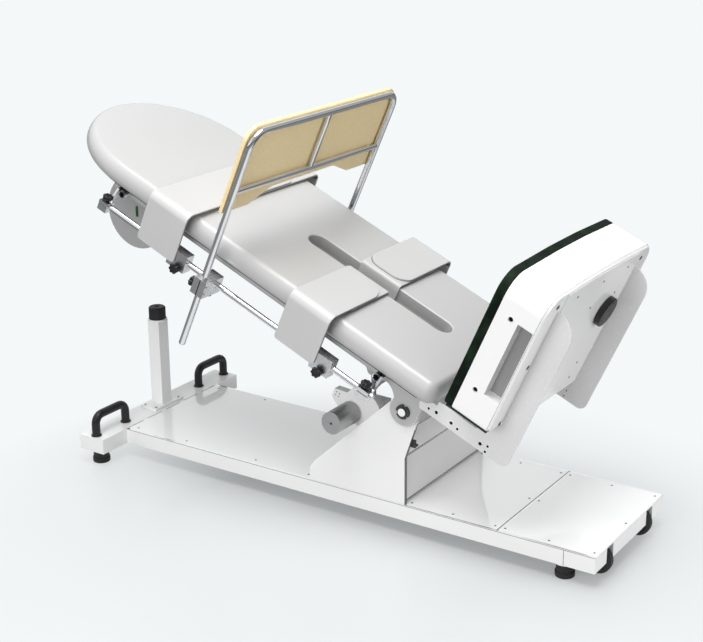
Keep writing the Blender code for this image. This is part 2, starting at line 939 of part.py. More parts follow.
def lift_bracket():
    """Cross tube under the bed with two plates that hold the screw's pin."""
    half = side_plate_inner_y - gap - frame_tube
    low = (lift_tube_u - lift_tube_width / 2, -half - weld_depth, frame_tube_low)
    high = (lift_tube_u + lift_tube_width / 2, half - gap, frame_tube_high)
    parts = [box(low, high)]
    top = frame_tube_low + weld_depth
    outline = [(bracket_foot_u, top), (bracket_head_u, top)]
    outline += arc((screw_u, screw_n), bracket_tip_radius, 200, 350, 8)
    for side in (-1, 1):
        inner = drive_y + side * (screw_eye_width / 2 + bracket_play)
        parts.append(plate_y(outline, inner, inner + side * bracket_thickness))
    reach = screw_eye_width / 2 + bracket_play + bracket_thickness + 0.002
    ends = (drive_y - reach, drive_y + reach)
    pin = cross_rod(screw_u, screw_n, *ends, drive_pin_radius, shaft_segments)
    return parts + [pin]


# The bed


def side_plate_outline():
    """Edge plate whose lower edge sweeps down into the round pivot lug."""
    sweep = (lug_sweep_u, side_plate_low - lug_sweep_radius)
    distance = math.hypot(*sweep)
    reach = (lug_radius**2 - lug_sweep_radius**2 + distance**2) / (2 * distance)
    opening = math.degrees(math.acos(reach / lug_radius))
    toward = math.degrees(math.atan2(sweep[1], sweep[0])) % 360
    meet_deg = toward - opening
    meet = arc((0, 0), lug_radius, meet_deg, meet_deg, 1)[0]
    sweep_end = math.degrees(math.atan2(meet[1] - sweep[1], meet[0] - sweep[0]))
    outline = [(side_plate_foot_u, frame_tube_high), (side_plate_head_u, frame_tube_high)]
    outline.append((side_plate_head_u, side_plate_low))
    outline += arc(sweep, lug_sweep_radius, 90, sweep_end, 7)
    outline += arc((0, 0), lug_radius, meet_deg, 360, 16)[1:]
    outline.append((side_plate_foot_u, side_plate_low))
    return outline


def bed_side_frames(bed):
    """On each side a long tube with its edge plate; the near one carries the lift bracket."""
    for side, name in sides():
        plate = plate_y(side_plate_outline(), side * side_plate_inner_y, side * side_plate_outer_y)
        outer = side * (side_plate_inner_y + weld_depth)
        inner = side * (side_plate_inner_y - gap - frame_tube)
        tube = box(
            (side_plate_head_u, inner, frame_tube_low),
            (side_plate_foot_u, outer, frame_tube_high),
        )
        welds = [tube]
        if side < 0:
            welds += lift_bracket()
        reach = side * (side_plate_outer_y + 0.01)
        start = side * (side_plate_inner_y - frame_tube - 0.01)
        hole = pin_radius + running_gap
        holes = [cross_rod(0, 0, start, reach, hole, shaft_segments)]
        for u in (head_tube_u, foot_tube_u):
            holes.append(cross_rod(u, rail_tube_n, start, reach, rail_tube_radius + gap))
        steps = (("weld", welds), ("cut", holes))
        solid("bed_side_frame_" + name, plate, "white_paint", bed, steps=steps)


def rail_tubes(bed):
    """Two cross tubes through the side frames, open at their ends, which carry the side rails."""
    for u, name in ((head_tube_u, "head"), (foot_tube_u, "foot")):
        tube = cross_rod(u, rail_tube_n, -rail_tube_half, rail_tube_half, rail_tube_radius)
        bores = []
        for side, _ in sides():
            inner = side * (rail_tube_half - rail_tube_bore_depth)
            outer = side * (rail_tube_half + 0.01)
            bores.append(cross_rod(u, rail_tube_n, inner, outer, rail_tube_bore))
        solid("rail_tube_" + name, tube, "white_paint", bed, steps=(("cut", bores),))


def bed_board(bed):
    """Flat black board under the mattress, round at the head."""
    half = board_half_width
    outline = [(board_foot_u, -half), (board_foot_u, half)]
    outline += arc((head_centre_u, 0), half, 90, 270, 20)
    rings = [[(u, y, n) for u, y in outline] for n in (board_low, board_high)]
    solid("bed_board", skin(rings), "black_board", bed)


def mattress_ring(inset, n):
    """Points round the mattress plan, drawn in by inset."""
    half = mattress_half_width - inset
    corner = max(mattress_corner - inset, 0.004)
    foot = mattress_foot_u - inset
    straight = 5
    plan = arc((foot - corner, half - corner), corner, 0, 90, 3)
    run = head_centre_u - (foot - corner)
    for k in range(1, straight):
        plan.append((foot - corner + run * k / straight, half))
    plan += arc((head_centre_u, 0), half, 90, 270, 22)
    for k in range(1, straight):
        plan.append((head_centre_u - run * k / straight, -half))
    plan += arc((foot - corner, -half + corner), corner, 270, 360, 3)
    return [(u, y, n) for u, y in plan]


def mattress(bed):
    """Crowned pad with drawn-in sides and a long round-ended groove along its middle."""
    top = mattress_high
    levels = (
        (0.0255, mattress_low),
        (0.0125, mattress_low + 0.0034),
        (0.0045, mattress_low + 0.0104),
        (0.0, mattress_low + 0.0224),
        (0.0, mattress_low + 0.0374),
        (0.0055, top - 0.0185),
        (0.0155, top - 0.0065),
        (0.0275, top),
        (0.110, top + mattress_crown * 0.7),
        (0.200, top + mattress_crown),
    )
    pad = skin([mattress_ring(inset, n) for inset, n in levels])
    plan = arc((groove_end_u - groove_half_width, 0), groove_half_width, -90, 90, 8)
    plan += arc((groove_start_u + groove_half_width, 0), groove_half_width, 90, 270, 8)
    floor = top + mattress_crown - groove_depth
    groove = skin([[(u, y, n) for u, y in plan] for n in (floor, top + groove_depth)])
    solid("mattress", pad, "coated_fabric", bed, steps=(("cut", [groove]),))


def side_rails(bed):
    """A chrome rail each side, with a split clamp on an arm at each end."""
    start = head_tube_u - rail_overrun
    end = foot_tube_u + rail_overrun
    for side, name in sides():
        y = side * rail_y
        shape = rod((start, y, rail_n), (end, y, rail_n), rail_radius, 16)
        solid("side_rail_" + name, shape, "chrome", bed)
        rail_clamp(bed, side, "head_" + name, head_tube_u, -1, end_clamp_head_set)
        rail_clamp(bed, side, "foot_" + name, foot_tube_u, 1, end_clamp_foot_set)


def rail_clamp(bed, side, name, tube_u, out, block_set):
    """The curved arm beside a cross tube, and the split block that grips the end of a rail."""
    start = tube_u + out * (rail_tube_radius + gap)
    inner_y = side_plate_outer_y + gap
    block_inner_y = rail_y - end_clamp_width / 2
    block_outer_y = rail_y + end_clamp_width / 2
    block_u = tube_u + out * block_set
    shoulder = rail_tube_n + rail_tube_radius
    outline = [
        (inner_y, shoulder),
        (rail_tube_half, shoulder),
        (block_inner_y, end_clamp_high - weld_depth),
        (block_outer_y - weld_depth, end_clamp_high - weld_depth),
        (block_outer_y - weld_depth, end_clamp_low + weld_depth),
        (block_inner_y, end_clamp_low + weld_depth),
    ]
    outline += arc((block_inner_y - arm_drop, end_clamp_low), arm_drop, 8, 72, 5)
    outline.append((inner_y, shoulder - 2 * rail_tube_radius))
    arm = plate_x(mirrored(outline, side), start, start + out * arm_thickness)
    half = end_clamp_length / 2
    low = (block_u - half, side * block_inner_y, end_clamp_low)
    high = (block_u + half, side * block_outer_y, end_clamp_high)
    block = box(low, high)
    rail_end = tube_u + out * (rail_overrun + gap)
    bore = rod(
        (tube_u - out * 0.03, side * rail_y, rail_n),
        (rail_end, side * rail_y, rail_n),
        rail_radius + gap,
        16,
    )
    slit = box(
        (tube_u - out * 0.03, side * rail_y, rail_n - clamp_slit / 2),
        (tube_u + out * 0.06, side * (rail_y + end_clamp_width), rail_n + clamp_slit / 2),
    )
    steps = (("weld", [arm]), ("cut", [bore, slit]))
    solid("rail_clamp_" + name, block, "white_paint", bed, steps=steps)
    spot = (block_u, side * rail_y, end_clamp_high + gap)
    star_knob(bed, "knob_rail_" + name, spot, (0, 0, 1))


def star_knob(parent, name, place, axis):
    """A lobed hand knob that stands off its clamp on a short collar."""
    axis = Vector(axis).normalized()
    side = axis.orthogonal().normalized()
    other = axis.cross(side)
    segments = knob_lobes * 4
    shoulder = knob_radius - 0.0025
    levels = (
        (0.0, knob_collar_radius, 0.0),
        (knob_collar_height, knob_collar_radius, 0.0),
        (knob_collar_height, shoulder, knob_lobe_depth),
        (knob_collar_height + 0.003, knob_radius, knob_lobe_depth),
        (knob_height - 0.003, knob_radius, knob_lobe_depth),
        (knob_height, shoulder, knob_lobe_depth),
    )
    rings = []
    for along, radius, lobe in levels:
        ring = []
        for i in range(segments):
            angle = 2 * math.pi * i / segments
            reach = radius - lobe * (1 - math.cos(knob_lobes * angle)) / 2
            spoke = side * math.cos(angle) + other * math.sin(angle)
            ring.append(axis * along + spoke * reach)
        rings.append(ring)
    solid(name, skin(rings), "black_plastic", parent, place)


# Straps


def strap_sheet(path, centre_u, width):
    """A flat strap that follows a path of (y, n) points."""
    outline = strip_outline(path, strap)
    return plate_x(outline, centre_u - width / 2, centre_u + width / 2)


def over_edge(side, level, end_y):
    """A strap's path: up outside the rail, round the mattress edge, and over to end_y."""
    y = strap_drop_y + strap / 2
    points = [(y, strap_low)]
    points += arc((y - strap_bend, level - strap_bend), strap_bend, 0, 90, 6)
    path = mirrored(points, side)
    path.append((end_y, level))
    return path


def band_clamp(parent, name, side, edge_u, reach):
    """Rail block under a strap's edge, bored for the rail."""
    outer = strap_drop_y - gap
    start = edge_u + reach - band_clamp_length
    block = box(
        (start, side * (outer - band_clamp_width), band_clamp_low),
        (edge_u + reach, side * outer, band_clamp_high),
    )
    bore = rod(
        (start - 0.01, side * rail_y, rail_n),
        (edge_u + reach + 0.01, side * rail_y, rail_n),
        rail_radius + gap,
        16,
    )
    solid(name, block, "grey_paint", parent, steps=(("cut", [bore]),))


def chest_strap(bed):
    """Chest strap whose near half lies over its far half, with a rail clamp each side."""
    carrier = add_empty("chest_strap_slide", (0, 0, 0), bed)
    edge = chest_u + chest_width / 2
    lower = strap_sheet(over_edge(1, strap_level, chest_under_y), chest_u, chest_width)
    upper = strap_sheet(over_edge(-1, strap_upper_level, chest_end_y), chest_u, chest_width)
    solid("chest_strap", lower, "white_strap", carrier, steps=(("weld", [upper]),))
    for side, name in sides():
        band_clamp(carrier, "chest_clamp_" + name, side, edge, chest_clamp_reach)
        spot = (edge + chest_knob_offset, side * strap_drop_y, band_knob_n)
        star_knob(carrier, "knob_chest_" + name, spot, (0, side, 0))


def knee_straps(bed):
    """A strap for each knee: one end rises from the groove, under a flap from the rail."""
    edge = knee_u + knee_width / 2
    for side, name in sides():
        carrier = add_empty("knee_strap_slide_" + name, (0, 0, 0), bed)
        wall = groove_half_width - groove_play - strap / 2
        foot = mattress_high + mattress_crown - groove_depth + groove_play
        points = [(wall, foot)]
        points += arc((wall + knee_bend, strap_level - knee_bend), knee_bend, 180, 90, 5)
        points.append((knee_under_y, strap_level))
        inner = strap_sheet(mirrored(points, side), knee_u, knee_width)
        path = over_edge(side, strap_upper_level, side * knee_end_y)
        outer = strap_sheet(path, knee_u, knee_width)
        solid("knee_strap_" + name, outer, "white_strap", carrier, steps=(("weld", [inner]),))
        band_clamp(carrier, "knee_clamp_" + name, side, edge, knee_clamp_reach)
        spot = (edge + knee_knob_offset, side * strap_drop_y, band_knob_n)
        star_knob(carrier, "knob_knee_" + name, spot, (0, side, 0))


# Tray


def tray(bed):
    """Chrome frame with a board on its head side, held in clamps that ride on the rails."""
    carrier = add_empty("tray_slide", (0, 0, 0), bed)
    for side, name in sides():
        tray_clamp(carrier, side, name)
    lift = add_empty("tray_lift", (0, 0, 0), carrier)
    points = [
        (tray_u, -tray_leg_y, tray_foot_n),
        (tray_u, -tray_leg_y, tray_top_n),
        (tray_u, tray_leg_y, tray_top_n),
        (tray_u, tray_leg_y, tray_foot_n),
    ]
    hoop = bent_tube(bent_path(points, tray_bend, 6), tray_tube, (1, 0, 0))
    cross = cross_rod(tray_u, tray_cross_n, -tray_leg_y, tray_leg_y, tray_cross_tube, 16)
    divider = rod((tray_u, 0, tray_cross_n), (tray_u, 0, tray_top_n), tray_divider_tube, 16)
    solid("tray_frame", hoop, "chrome", lift, steps=(("weld", [cross, divider]),))
    face = tray_u - tray_tube - gap
    corner = tray_board_corner
    outline = [
        (-tray_board_half, tray_board_low),
        (-tray_board_tab, tray_board_low),
        (-tray_board_notch_half, tray_board_notch),
        (tray_board_notch_half, tray_board_notch),
        (tray_board_tab, tray_board_low),
        (tray_board_half, tray_board_low),
    ]
    outline += arc((tray_board_half - corner, tray_board_high - corner), corner, 0, 90, 5)
    outline += arc((-tray_board_half + corner, tray_board_high - corner), corner, 90, 180, 5)
    board = plate_x(outline, face - tray_board_thickness, face)
    solid("tray_board", board, "beige_board", lift)


def tray_clamp(carrier, side, name):
    """A cross clamp with one bore for the rail and an upright one for the tray leg."""
    inner_y = rail_y - rail_radius - tray_clamp_wall
    outer_y = tray_leg_y + tray_tube + tray_clamp_wall
    block = box(
        (tray_u - tray_clamp_half, side * inner_y, tray_clamp_low),
        (tray_u + tray_clamp_half, side * outer_y, tray_clamp_high),
    )
    rail_bore = rod(
        (tray_u - 0.05, side * rail_y, rail_n),
        (tray_u + 0.05, side * rail_y, rail_n),
        rail_radius + gap,
        16,
    )
    leg_bore = rod(
        (tray_u, side * tray_leg_y, tray_clamp_low - 0.05),
        (tray_u, side * tray_leg_y, tray_clamp_high + 0.05),
        tray_tube + gap,
        16,
    )
    stud_at = (tray_u, side * rail_y)
    stud = rod(
        (*stud_at, tray_clamp_low - tray_stud_length),
        (*stud_at, tray_clamp_low + weld_depth),
        tray_stud_radius,
        16,
    )
    steps = (("weld", [stud]), ("cut", [rail_bore, leg_bore]))
    solid("tray_clamp_" + name, block, "white_paint", carrier, steps=steps)
    spot = (tray_u - tray_clamp_half - gap, side * tray_leg_y, tray_knob_n)
    star_knob(carrier, "knob_tray_" + name, spot, (-1, 0, 0))


# Footboard


def footboard_outline(inset=0.0):
    """Footboard outline across the bed, with large upper corners and a slightly arched top."""
    half = footboard_half - inset
    low = footboard_low + inset
    high = footboard_high - inset
    small = footboard_foot_corner
    big = footboard_corner - inset
    shoulder = high - footboard_arch - big
    points = arc((half - small, low + small), small, -90, 0, 2)
    points += arc((half - big, shoulder), big, 0, 78, 6)
    points += [(half * 0.25, high), (-half * 0.25, high)]
    points += arc((-half + big, shoulder), big, 102, 180, 6)
    points += arc((-half + small, low + small), small, 180, 270, 2)
    return points


def stacked(levels):
    """A footboard layer skinned through (u, inset) levels."""
    return skin([[(u, y, n) for y, n in footboard_outline(inset)] for u, inset in levels])


def side_holes():
    """A round hole above and below each hand grip: (u, n)."""
    return ((grip_u - 0.050, grip_high), (grip_u - 0.054, grip_low - 0.003))


def back_panel_plan():
    """The rear panel between the ear plates, from below the shell up to its arched top."""
    half = back_panel_half
    high = footboard_high - back_panel_inset
    low = back_panel_low
    middle = footboard_half / 4
    fall = footboard_arch * (half - middle) / (footboard_half - footboard_corner - middle)
    right = [(half, low), (half, high - fall), (middle, high)]
    return right + [(-y, n) for y, n in reversed(right)]


def footboard(bed):
    """Deep padded footboard: green pad, white shell with hand grips, and the round rear cap."""
    pad_back = pad_u + pad_thickness
    levels = ((pad_u, pad_edge), (pad_u + pad_edge, 0.0), (pad_back, 0.0))
    solid("footboard_pad", stacked(levels), "green_rubber", bed)
    levels = ((shell_u, 0.0), (shell_back_u - shell_edge, 0.0), (shell_back_u, shell_edge))
    grips = []
    for side, _ in sides():
        centre = (grip_u, (grip_low + grip_high) / 2)
        height = grip_high - grip_low
        outline = rounded_rectangle(centre, grip_width, height, grip_corner, 3)
        inner = side * (footboard_half - grip_depth)
        grips.append(plate_y(outline, inner, side * (footboard_half + 0.01)))
        inner = side * (footboard_half - side_hole_depth)
        for u, n in side_holes():
            grips.append(
                cross_rod(u, n, inner, side * (footboard_half + 0.01), side_hole_radius, 16)
            )
    back = plate_x(back_panel_plan(), shell_back_u - weld_depth, shell_back_u + back_panel)
    steps = (("cut", grips), ("weld", [back]))
    solid("footboard_shell", stacked(levels), "white_paint", bed, steps=steps)
    profile = (
        (0.0, rear_cap_radius),
        (rear_cap_depth - rear_cap_edge, rear_cap_radius),
        (rear_cap_depth, rear_cap_radius - rear_cap_edge),
    )
    cap = turned((0, 0, 0), (1, 0, 0), profile, 32)
    place = (shell_back_u + back_panel + gap, rear_cap_y, rear_cap_n)
    solid("footboard_cap", cap, "black_plastic", bed, place)


def ear_holes():
    """The bolt holes along an ear plate: (u, n, radius)."""
    middle = (ear_low + ear_arm_high) / 2 - 0.007
    holes = [
        (0.070, middle - 0.004, ear_bolt_radius),
        (0.097, middle, ear_slot_radius),
        (0.152, middle, ear_slot_radius),
        (0.177, middle - 0.005, ear_bolt_radius),
        (0.259, middle, ear_slot_radius),
        (0.283, middle + 0.0075, ear_bolt_radius),
        (0.283, middle - 0.0130, ear_bolt_radius),
    ]
    return holes


def ear_plates(bed):
    """L-shaped plates whose posts carry the footboard from behind with an inward flange."""
    outline = [(ear_start_u, ear_low + ear_corner / 2), (ear_start_u + ear_corner / 4, ear_low)]
    outline += arc((ear_foot_u - ear_corner, ear_low + ear_corner), ear_corner, -90, 0, 5)
    top = (ear_foot_u - ear_top_corner, ear_high - ear_top_corner)
    outline += arc(top, ear_top_corner, 0, 90, 6)
    outline += [
        (ear_post_u, ear_high),
        (ear_post_u, ear_arm_high),
        (mattress_foot_u + ear_relief, ear_arm_high),
        (mattress_foot_u + ear_relief, mattress_low - ear_relief),
        (ear_start_u, mattress_low - ear_relief),
    ]
    for side, name in sides():
        inner = side * ear_inner_y
        outer = side * (ear_inner_y + ear_thickness)
        holes = []
        for u, n, radius in ear_holes():
            holes.append(cross_rod(u, n, inner - side * 0.01, outer + side * 0.01, radius, 12))
        low = (ear_post_u, inner - side * ear_flange_reach, ear_flange_low)
        high = (ear_post_u + ear_thickness, inner + side * weld_depth, ear_flange_high)
        plate = plate_y(outline, inner, outer)
        steps = (("cut", holes), ("weld", [box(low, high)]))
        solid("ear_plate_" + name, plate, "white_paint", bed, steps=steps)


def head_discs(bed):
    """Two round cheeks under the head end, either side of the post, carried on the head tube."""
    outline = arc((disc_u, disc_n), disc_radius, 0, 360, 48)[:-1]
    inner = -disc_y - disc_thickness
    near = plate_y(outline, inner, -disc_y)
    far = plate_y(outline, disc_y, disc_y + disc_thickness)
    spacer = cross_rod(
        disc_spacer_u,
        disc_spacer_n,
        -disc_y - weld_depth,
        disc_y + weld_depth,
        disc_spacer_radius,
        16,
    )
    slot_points = rounded_rectangle(
        (0, 0), disc_slot_width, disc_slot_height, disc_slot_width * 0.49, 4
    )
    slot = []
    for x, z in slot_points:
        u, n = to_bed(x, z)
        slot.append((disc_u + u, disc_n + n))
    hole_u, hole_n = to_bed(disc_hole_x, disc_hole_z)
    cuts = [
        plate_y(slot, inner - 0.01, -inner + 0.01),
        cross_rod(head_tube_u, rail_tube_n, inner - 0.01, -inner + 0.01, rail_tube_radius + gap),
        cross_rod(
            disc_u + hole_u, disc_n + hole_n, inner - 0.01, -inner + 0.01, disc_hole_radius, 12
        ),
    ]
    steps = (("weld", [spacer, far]), ("cut", cuts))
    solid("head_discs", near, "grey_paint", bed, steps=steps)


def build():
    """Builds every piece at rest, with the bed at its photographed tilt."""
    clear_scene()
    root = add_empty("platform", (0, 0, 0))
    base_frame(root)
    deck_panels(root)
    rubber_feet(root)
    wheels(root)
    post(root)
    carry_handles(root)
    pedestal(root)
    pivot_pins(root)
    gear_stand(root)
    gear_motor(root)
    bed = add_empty("bed_pivot", (pivot_x, 0, pivot_z), root, turn=tilt)
    bed_side_frames(bed)
    lift_screw(bed)
    rail_tubes(bed)
    bed_board(bed)
    mattress(bed)
    side_rails(bed)
    chest_strap(bed)
    knee_straps(bed)
    tray(bed)
    footboard(bed)
    ear_plates(bed)
    head_discs(bed)


build()
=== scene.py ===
"""Looks of the pediatric tilt table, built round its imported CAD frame. Metres, +Z up.
Bed pieces are made in the bed's own frame: u runs down to the foot end, n is up out of the bed."""

import json
import math

import bmesh
import bpy
from mathutils import Matrix, Vector


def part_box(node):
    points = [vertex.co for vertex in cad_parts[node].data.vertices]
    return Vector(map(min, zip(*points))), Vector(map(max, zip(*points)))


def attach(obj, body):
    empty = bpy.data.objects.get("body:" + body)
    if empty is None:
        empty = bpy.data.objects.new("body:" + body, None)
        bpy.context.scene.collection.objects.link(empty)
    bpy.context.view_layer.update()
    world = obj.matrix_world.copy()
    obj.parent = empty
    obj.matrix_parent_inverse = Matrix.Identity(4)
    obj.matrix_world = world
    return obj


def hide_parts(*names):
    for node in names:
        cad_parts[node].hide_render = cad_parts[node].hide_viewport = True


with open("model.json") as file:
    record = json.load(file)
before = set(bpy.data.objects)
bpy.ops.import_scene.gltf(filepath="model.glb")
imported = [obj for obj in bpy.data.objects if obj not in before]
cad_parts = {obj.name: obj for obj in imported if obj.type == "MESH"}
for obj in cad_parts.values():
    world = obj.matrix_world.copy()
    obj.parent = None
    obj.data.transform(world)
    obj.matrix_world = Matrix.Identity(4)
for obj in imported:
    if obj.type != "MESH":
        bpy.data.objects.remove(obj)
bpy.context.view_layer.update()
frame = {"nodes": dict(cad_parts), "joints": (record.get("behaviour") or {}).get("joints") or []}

# Places that repeat the CAD source's values
gap = 0.0003
foot_end_x = 0.9857
deck_half_width = 0.250
deck_length = 1.770
deck_top = 0.1033
foot_panel_length = 0.3185
end_member_depth = 0.100
cheek_front_x = foot_end_x - 0.638
cheek_top = (0.3862, 0.3760)
cover_bend_z = 0.2593
tilt = math.radians(24)

mattress_low = 0.0926
mattress_high = 0.1665
mattress_crown = 0.0040
mattress_half_width = 0.3155
mattress_foot_u = 0.088
mattress_head_u = -1.5215
mattress_corner = 0.040
groove_start_u = -0.635
groove_end_u = -0.062
groove_half_width = 0.037
groove_depth = 0.050

strap = 0.0055
strap_overlap = 0.0003
strap_level = 0.17985
strap_drop_y = 0.3560
strap_low = 0.012
strap_bend = 0.026
chest_u = -0.951
chest_width = 0.158
chest_end_y = 0.205
chest_under_y = -0.020
knee_u = -0.3685
knee_width = 0.157
knee_end_y = 0.052
knee_under_y = 0.250
knee_bend = 0.007

tray_u = -0.726
tray_leg_y = 0.3925
tray_clamp_half = 0.024
rail_y = 0.340
head_tube_u = -1.177
foot_tube_u = -0.110

pad_u = 0.130
footboard_low = 0.170
footboard_high = 0.643
footboard_half = 0.352
footboard_foot_corner = 0.010
footboard_corner = 0.070
footboard_arch = 0.008
shell_back_u = 0.290
back_panel_u = 0.294
grip_u = 0.2553
grip_depth = 0.036
rear_cap_y = 0.149
rear_cap_n = 0.444
rear_cap_face_u = 0.3143
ear_outer_y = 0.2638

disc_u = -1.2000
disc_n = -0.0480
disc_y = 0.154
motor_u = -0.168
motor_n = -0.139
motor_radius = 0.0355

# Values of the dressing alone
screw_radius = 0.0036
screw_height = 0.0010
# Sizes of the dark sheets of painted shadow under the straps
shadow_sheet_thickness = 0.0014
shadow_sheet_drop = 0.0029
shadow_sheet_spread = 0.0024
strap_steps = 24

background = (0.905, 0.940, 0.949)

up = (0, 0, 1)
down = (0, 0, -1)
footward = (1, 0, 0)
sides = ((-1, "near"), (1, "far"))
feet = ("foot_head_near", "foot_head_far", "foot_end_near", "foot_end_far")
bed_bodies = ("bed", "chest_band", "knee_band_near", "knee_band_far", "tray_clamps", "tray")

joints = {joint["name"]: joint for joint in frame["joints"]}
pivot = Vector(joints["bed_tilt"]["pos_m"])
bed_frame = Matrix.Translation(pivot) @ Matrix.Rotation(tilt, 4, "Y")


# Node helpers


def mapped(tree, value, start, end):
    """Maps a value from the range start to the range end."""
    node = tree.nodes.new("ShaderNodeMapRange")
    for name, number in zip(("From Min", "From Max", "To Min", "To Max"), (*start, *end)):
        node.inputs[name].default_value = number
    tree.links.new(value, node.inputs["Value"])
    return node.outputs["Result"]


def combined(tree, operation, *values):
    """A Math node on two values, each a number or a socket."""
    node = tree.nodes.new("ShaderNodeMath")
    node.operation = operation
    for socket, value in zip(node.inputs, values):
        if isinstance(value, float):
            socket.default_value = value
        else:
            tree.links.new(value, socket)
    return node.outputs[0]


def mixed(tree, share, first, second):
    """The first shader, with a share of the second."""
    node = tree.nodes.new("ShaderNodeMixShader")
    for socket, value in zip(node.inputs, (share, first, second)):
        tree.links.new(value, socket)
    return node.outputs[0]


def texture(made, kind, scale, stretch=(1.0, 1.0, 1.0)):
    """A texture node in the piece's own coordinates."""
    nodes, links = made.node_tree.nodes, made.node_tree.links
    mapping = nodes.new("ShaderNodeMapping")
    mapping.inputs["Scale"].default_value = stretch
    links.new(nodes.new("ShaderNodeTexCoord").outputs["Object"], mapping.inputs["Vector"])
    node = nodes.new(kind)
    node.inputs["Scale"].default_value = scale
    links.new(mapping.outputs["Vector"], node.inputs["Vector"])
    return node


def noise(made, scale, detail=3.0, stretch=(1.0, 1.0, 1.0)):
    """A noise texture's value, for uneven colour and gloss."""
    node = texture(made, "ShaderNodeTexNoise", scale, stretch)
    node.inputs["Detail"].default_value = detail
    return node.outputs["Fac"]


def cells(made, scale):
    """A Voronoi texture's distance, for leather grain and moulded skin."""
    return texture(made, "ShaderNodeTexVoronoi", scale).outputs["Distance"]


# Material helpers


def shader_of(made):
    return made.node_tree.nodes["Principled BSDF"]


def look(name, color, roughness, metallic=0.0, coat=0.0, specular=0.5):
    """A Principled material with its even values on the shader's own sockets."""
    made = bpy.data.materials.new(name)
    made.use_nodes = True
    inputs = shader_of(made).inputs
    inputs["Base Color"].default_value = (*color, 1.0)
    inputs["Roughness"].default_value = roughness
    inputs["Metallic"].default_value = metallic
    inputs["Coat Weight"].default_value = coat
    inputs["Coat Roughness"].default_value = 0.04
    inputs["Specular IOR Level"].default_value = specular
    return made


def set_color(made, value, low, high, start, end):
    """Base colour from start to end, as a texture's value goes from low to high."""
    node = made.node_tree.nodes.new("ShaderNodeValToRGB")
    for element, position, color in zip(node.color_ramp.elements, (low, high), (start, end)):
        element.position = position
        element.color = (*color, 1.0)
    made.node_tree.links.new(value, node.inputs["Fac"])
    made.node_tree.links.new(node.outputs["Color"], shader_of(made).inputs["Base Color"])


def set_roughness(made, value, low, high):
    """Roughness from low to high over a texture's usual values."""
    result = mapped(made.node_tree, value, (0.3, 0.7), (low, high))
    made.node_tree.links.new(result, shader_of(made).inputs["Roughness"])


def add_bump(made, value, strength, distance):
    """Raises the surface by a texture's value."""
    node = made.node_tree.nodes.new("ShaderNodeBump")
    node.inputs["Strength"].default_value = strength
    node.inputs["Distance"].default_value = distance
    made.node_tree.links.new(value, node.inputs["Height"])
    made.node_tree.links.new(node.outputs["Normal"], shader_of(made).inputs["Normal"])


def shade(color, factor):
    return tuple(channel * factor for channel in color)


# Materials


def coated(name, level, roughness, coat, coat_ior, cloud, smear):
    """Grey with slightly uneven colour and roughness, under a clear gloss."""
    color = (level, level, level)
    made = look(name, color, roughness, coat=coat)
    shader_of(made).inputs["Coat IOR"].default_value = coat_ior
    set_color(made, noise(made, cloud), 0.3, 0.7, shade(color, 0.985), color)
    set_roughness(made, noise(made, smear), roughness - 0.02, roughness + 0.02)
    return made


def painted(name, level, roughness, coat=0.45, coat_ior=1.5):
    """Powder coat with a fine orange peel."""
    made = coated(name, level, roughness, coat, coat_ior, 3.0, 90.0)
    add_bump(made, noise(made, 420.0, 2.0), 0.06, 0.0003)
    return made


def leathered(name, level, roughness, coat, coat_ior):
    """Coated cloth with a fine grain of small cells, whose gloss mirrors softly."""
    made = coated(name, level, roughness, coat, coat_ior, 5.0, 120.0)
    shader_of(made).inputs["Coat Roughness"].default_value = 0.26
    add_bump(made, cells(made, 900.0), 0.05, 0.0001)
    return made


def polished(name, color, roughness):
    """Bright metal with faint smears."""
    made = look(name, color, roughness, metallic=1.0)
    set_color(made, noise(made, 14.0), 0.35, 0.7, shade(color, 0.96), color)
    set_roughness(made, noise(made, 30.0), roughness, roughness + 0.03)
    return made


def brushed(name, color, roughness, stretch):
    """Machined metal with fine lines across one direction."""
    made = look(name, color, roughness, metallic=1.0)
    lines = noise(made, 220.0, 2.0, stretch)
    set_color(made, lines, 0.3, 0.7, shade(color, 0.93), color)
    set_roughness(made, noise(made, 25.0), roughness - 0.05, roughness + 0.06)
    add_bump(made, lines, 0.05, 0.0002)
    return made


def moulded(name, color, roughness, grain):
    """Moulded plastic or rubber with a fine pebbled skin."""
    made = look(name, color, roughness, specular=0.4)
    set_color(made, noise(made, 30.0), 0.3, 0.7, shade(color, 0.7), shade(color, 1.3))
    set_roughness(made, noise(made, 60.0), roughness - 0.05, roughness + 0.08)
    add_bump(made, cells(made, grain), 0.25, 0.0003)
    return made


def marbled_rubber(name):
    """Dark green rubber with paler worn clouds."""
    made = look(name, (0.02, 0.05, 0.025), 0.6, specular=0.15)
    clouds = noise(made, 22.0, 4.0)
    set_color(made, clouds, 0.46, 0.78, (0.001, 0.005, 0.002), (0.012, 0.027, 0.013))
    set_roughness(made, clouds, 0.55, 0.75)
    add_bump(made, cells(made, 500.0), 0.30, 0.0004)
    return made


def veneered(name):
    """Pale beige board with a faint long grain and fine flecks."""
    color = (0.86, 0.70, 0.40)
    made = look(name, color, 0.42, coat=0.15)
    grain = noise(made, 70.0, 5.0, (3.0, 1.0, 3.0))
    set_color(made, grain, 0.3, 0.75, shade(color, 0.94), shade(color, 1.03))
    set_roughness(made, noise(made, 40.0), 0.36, 0.50)
    add_bump(made, grain, 0.10, 0.0003)
    return made


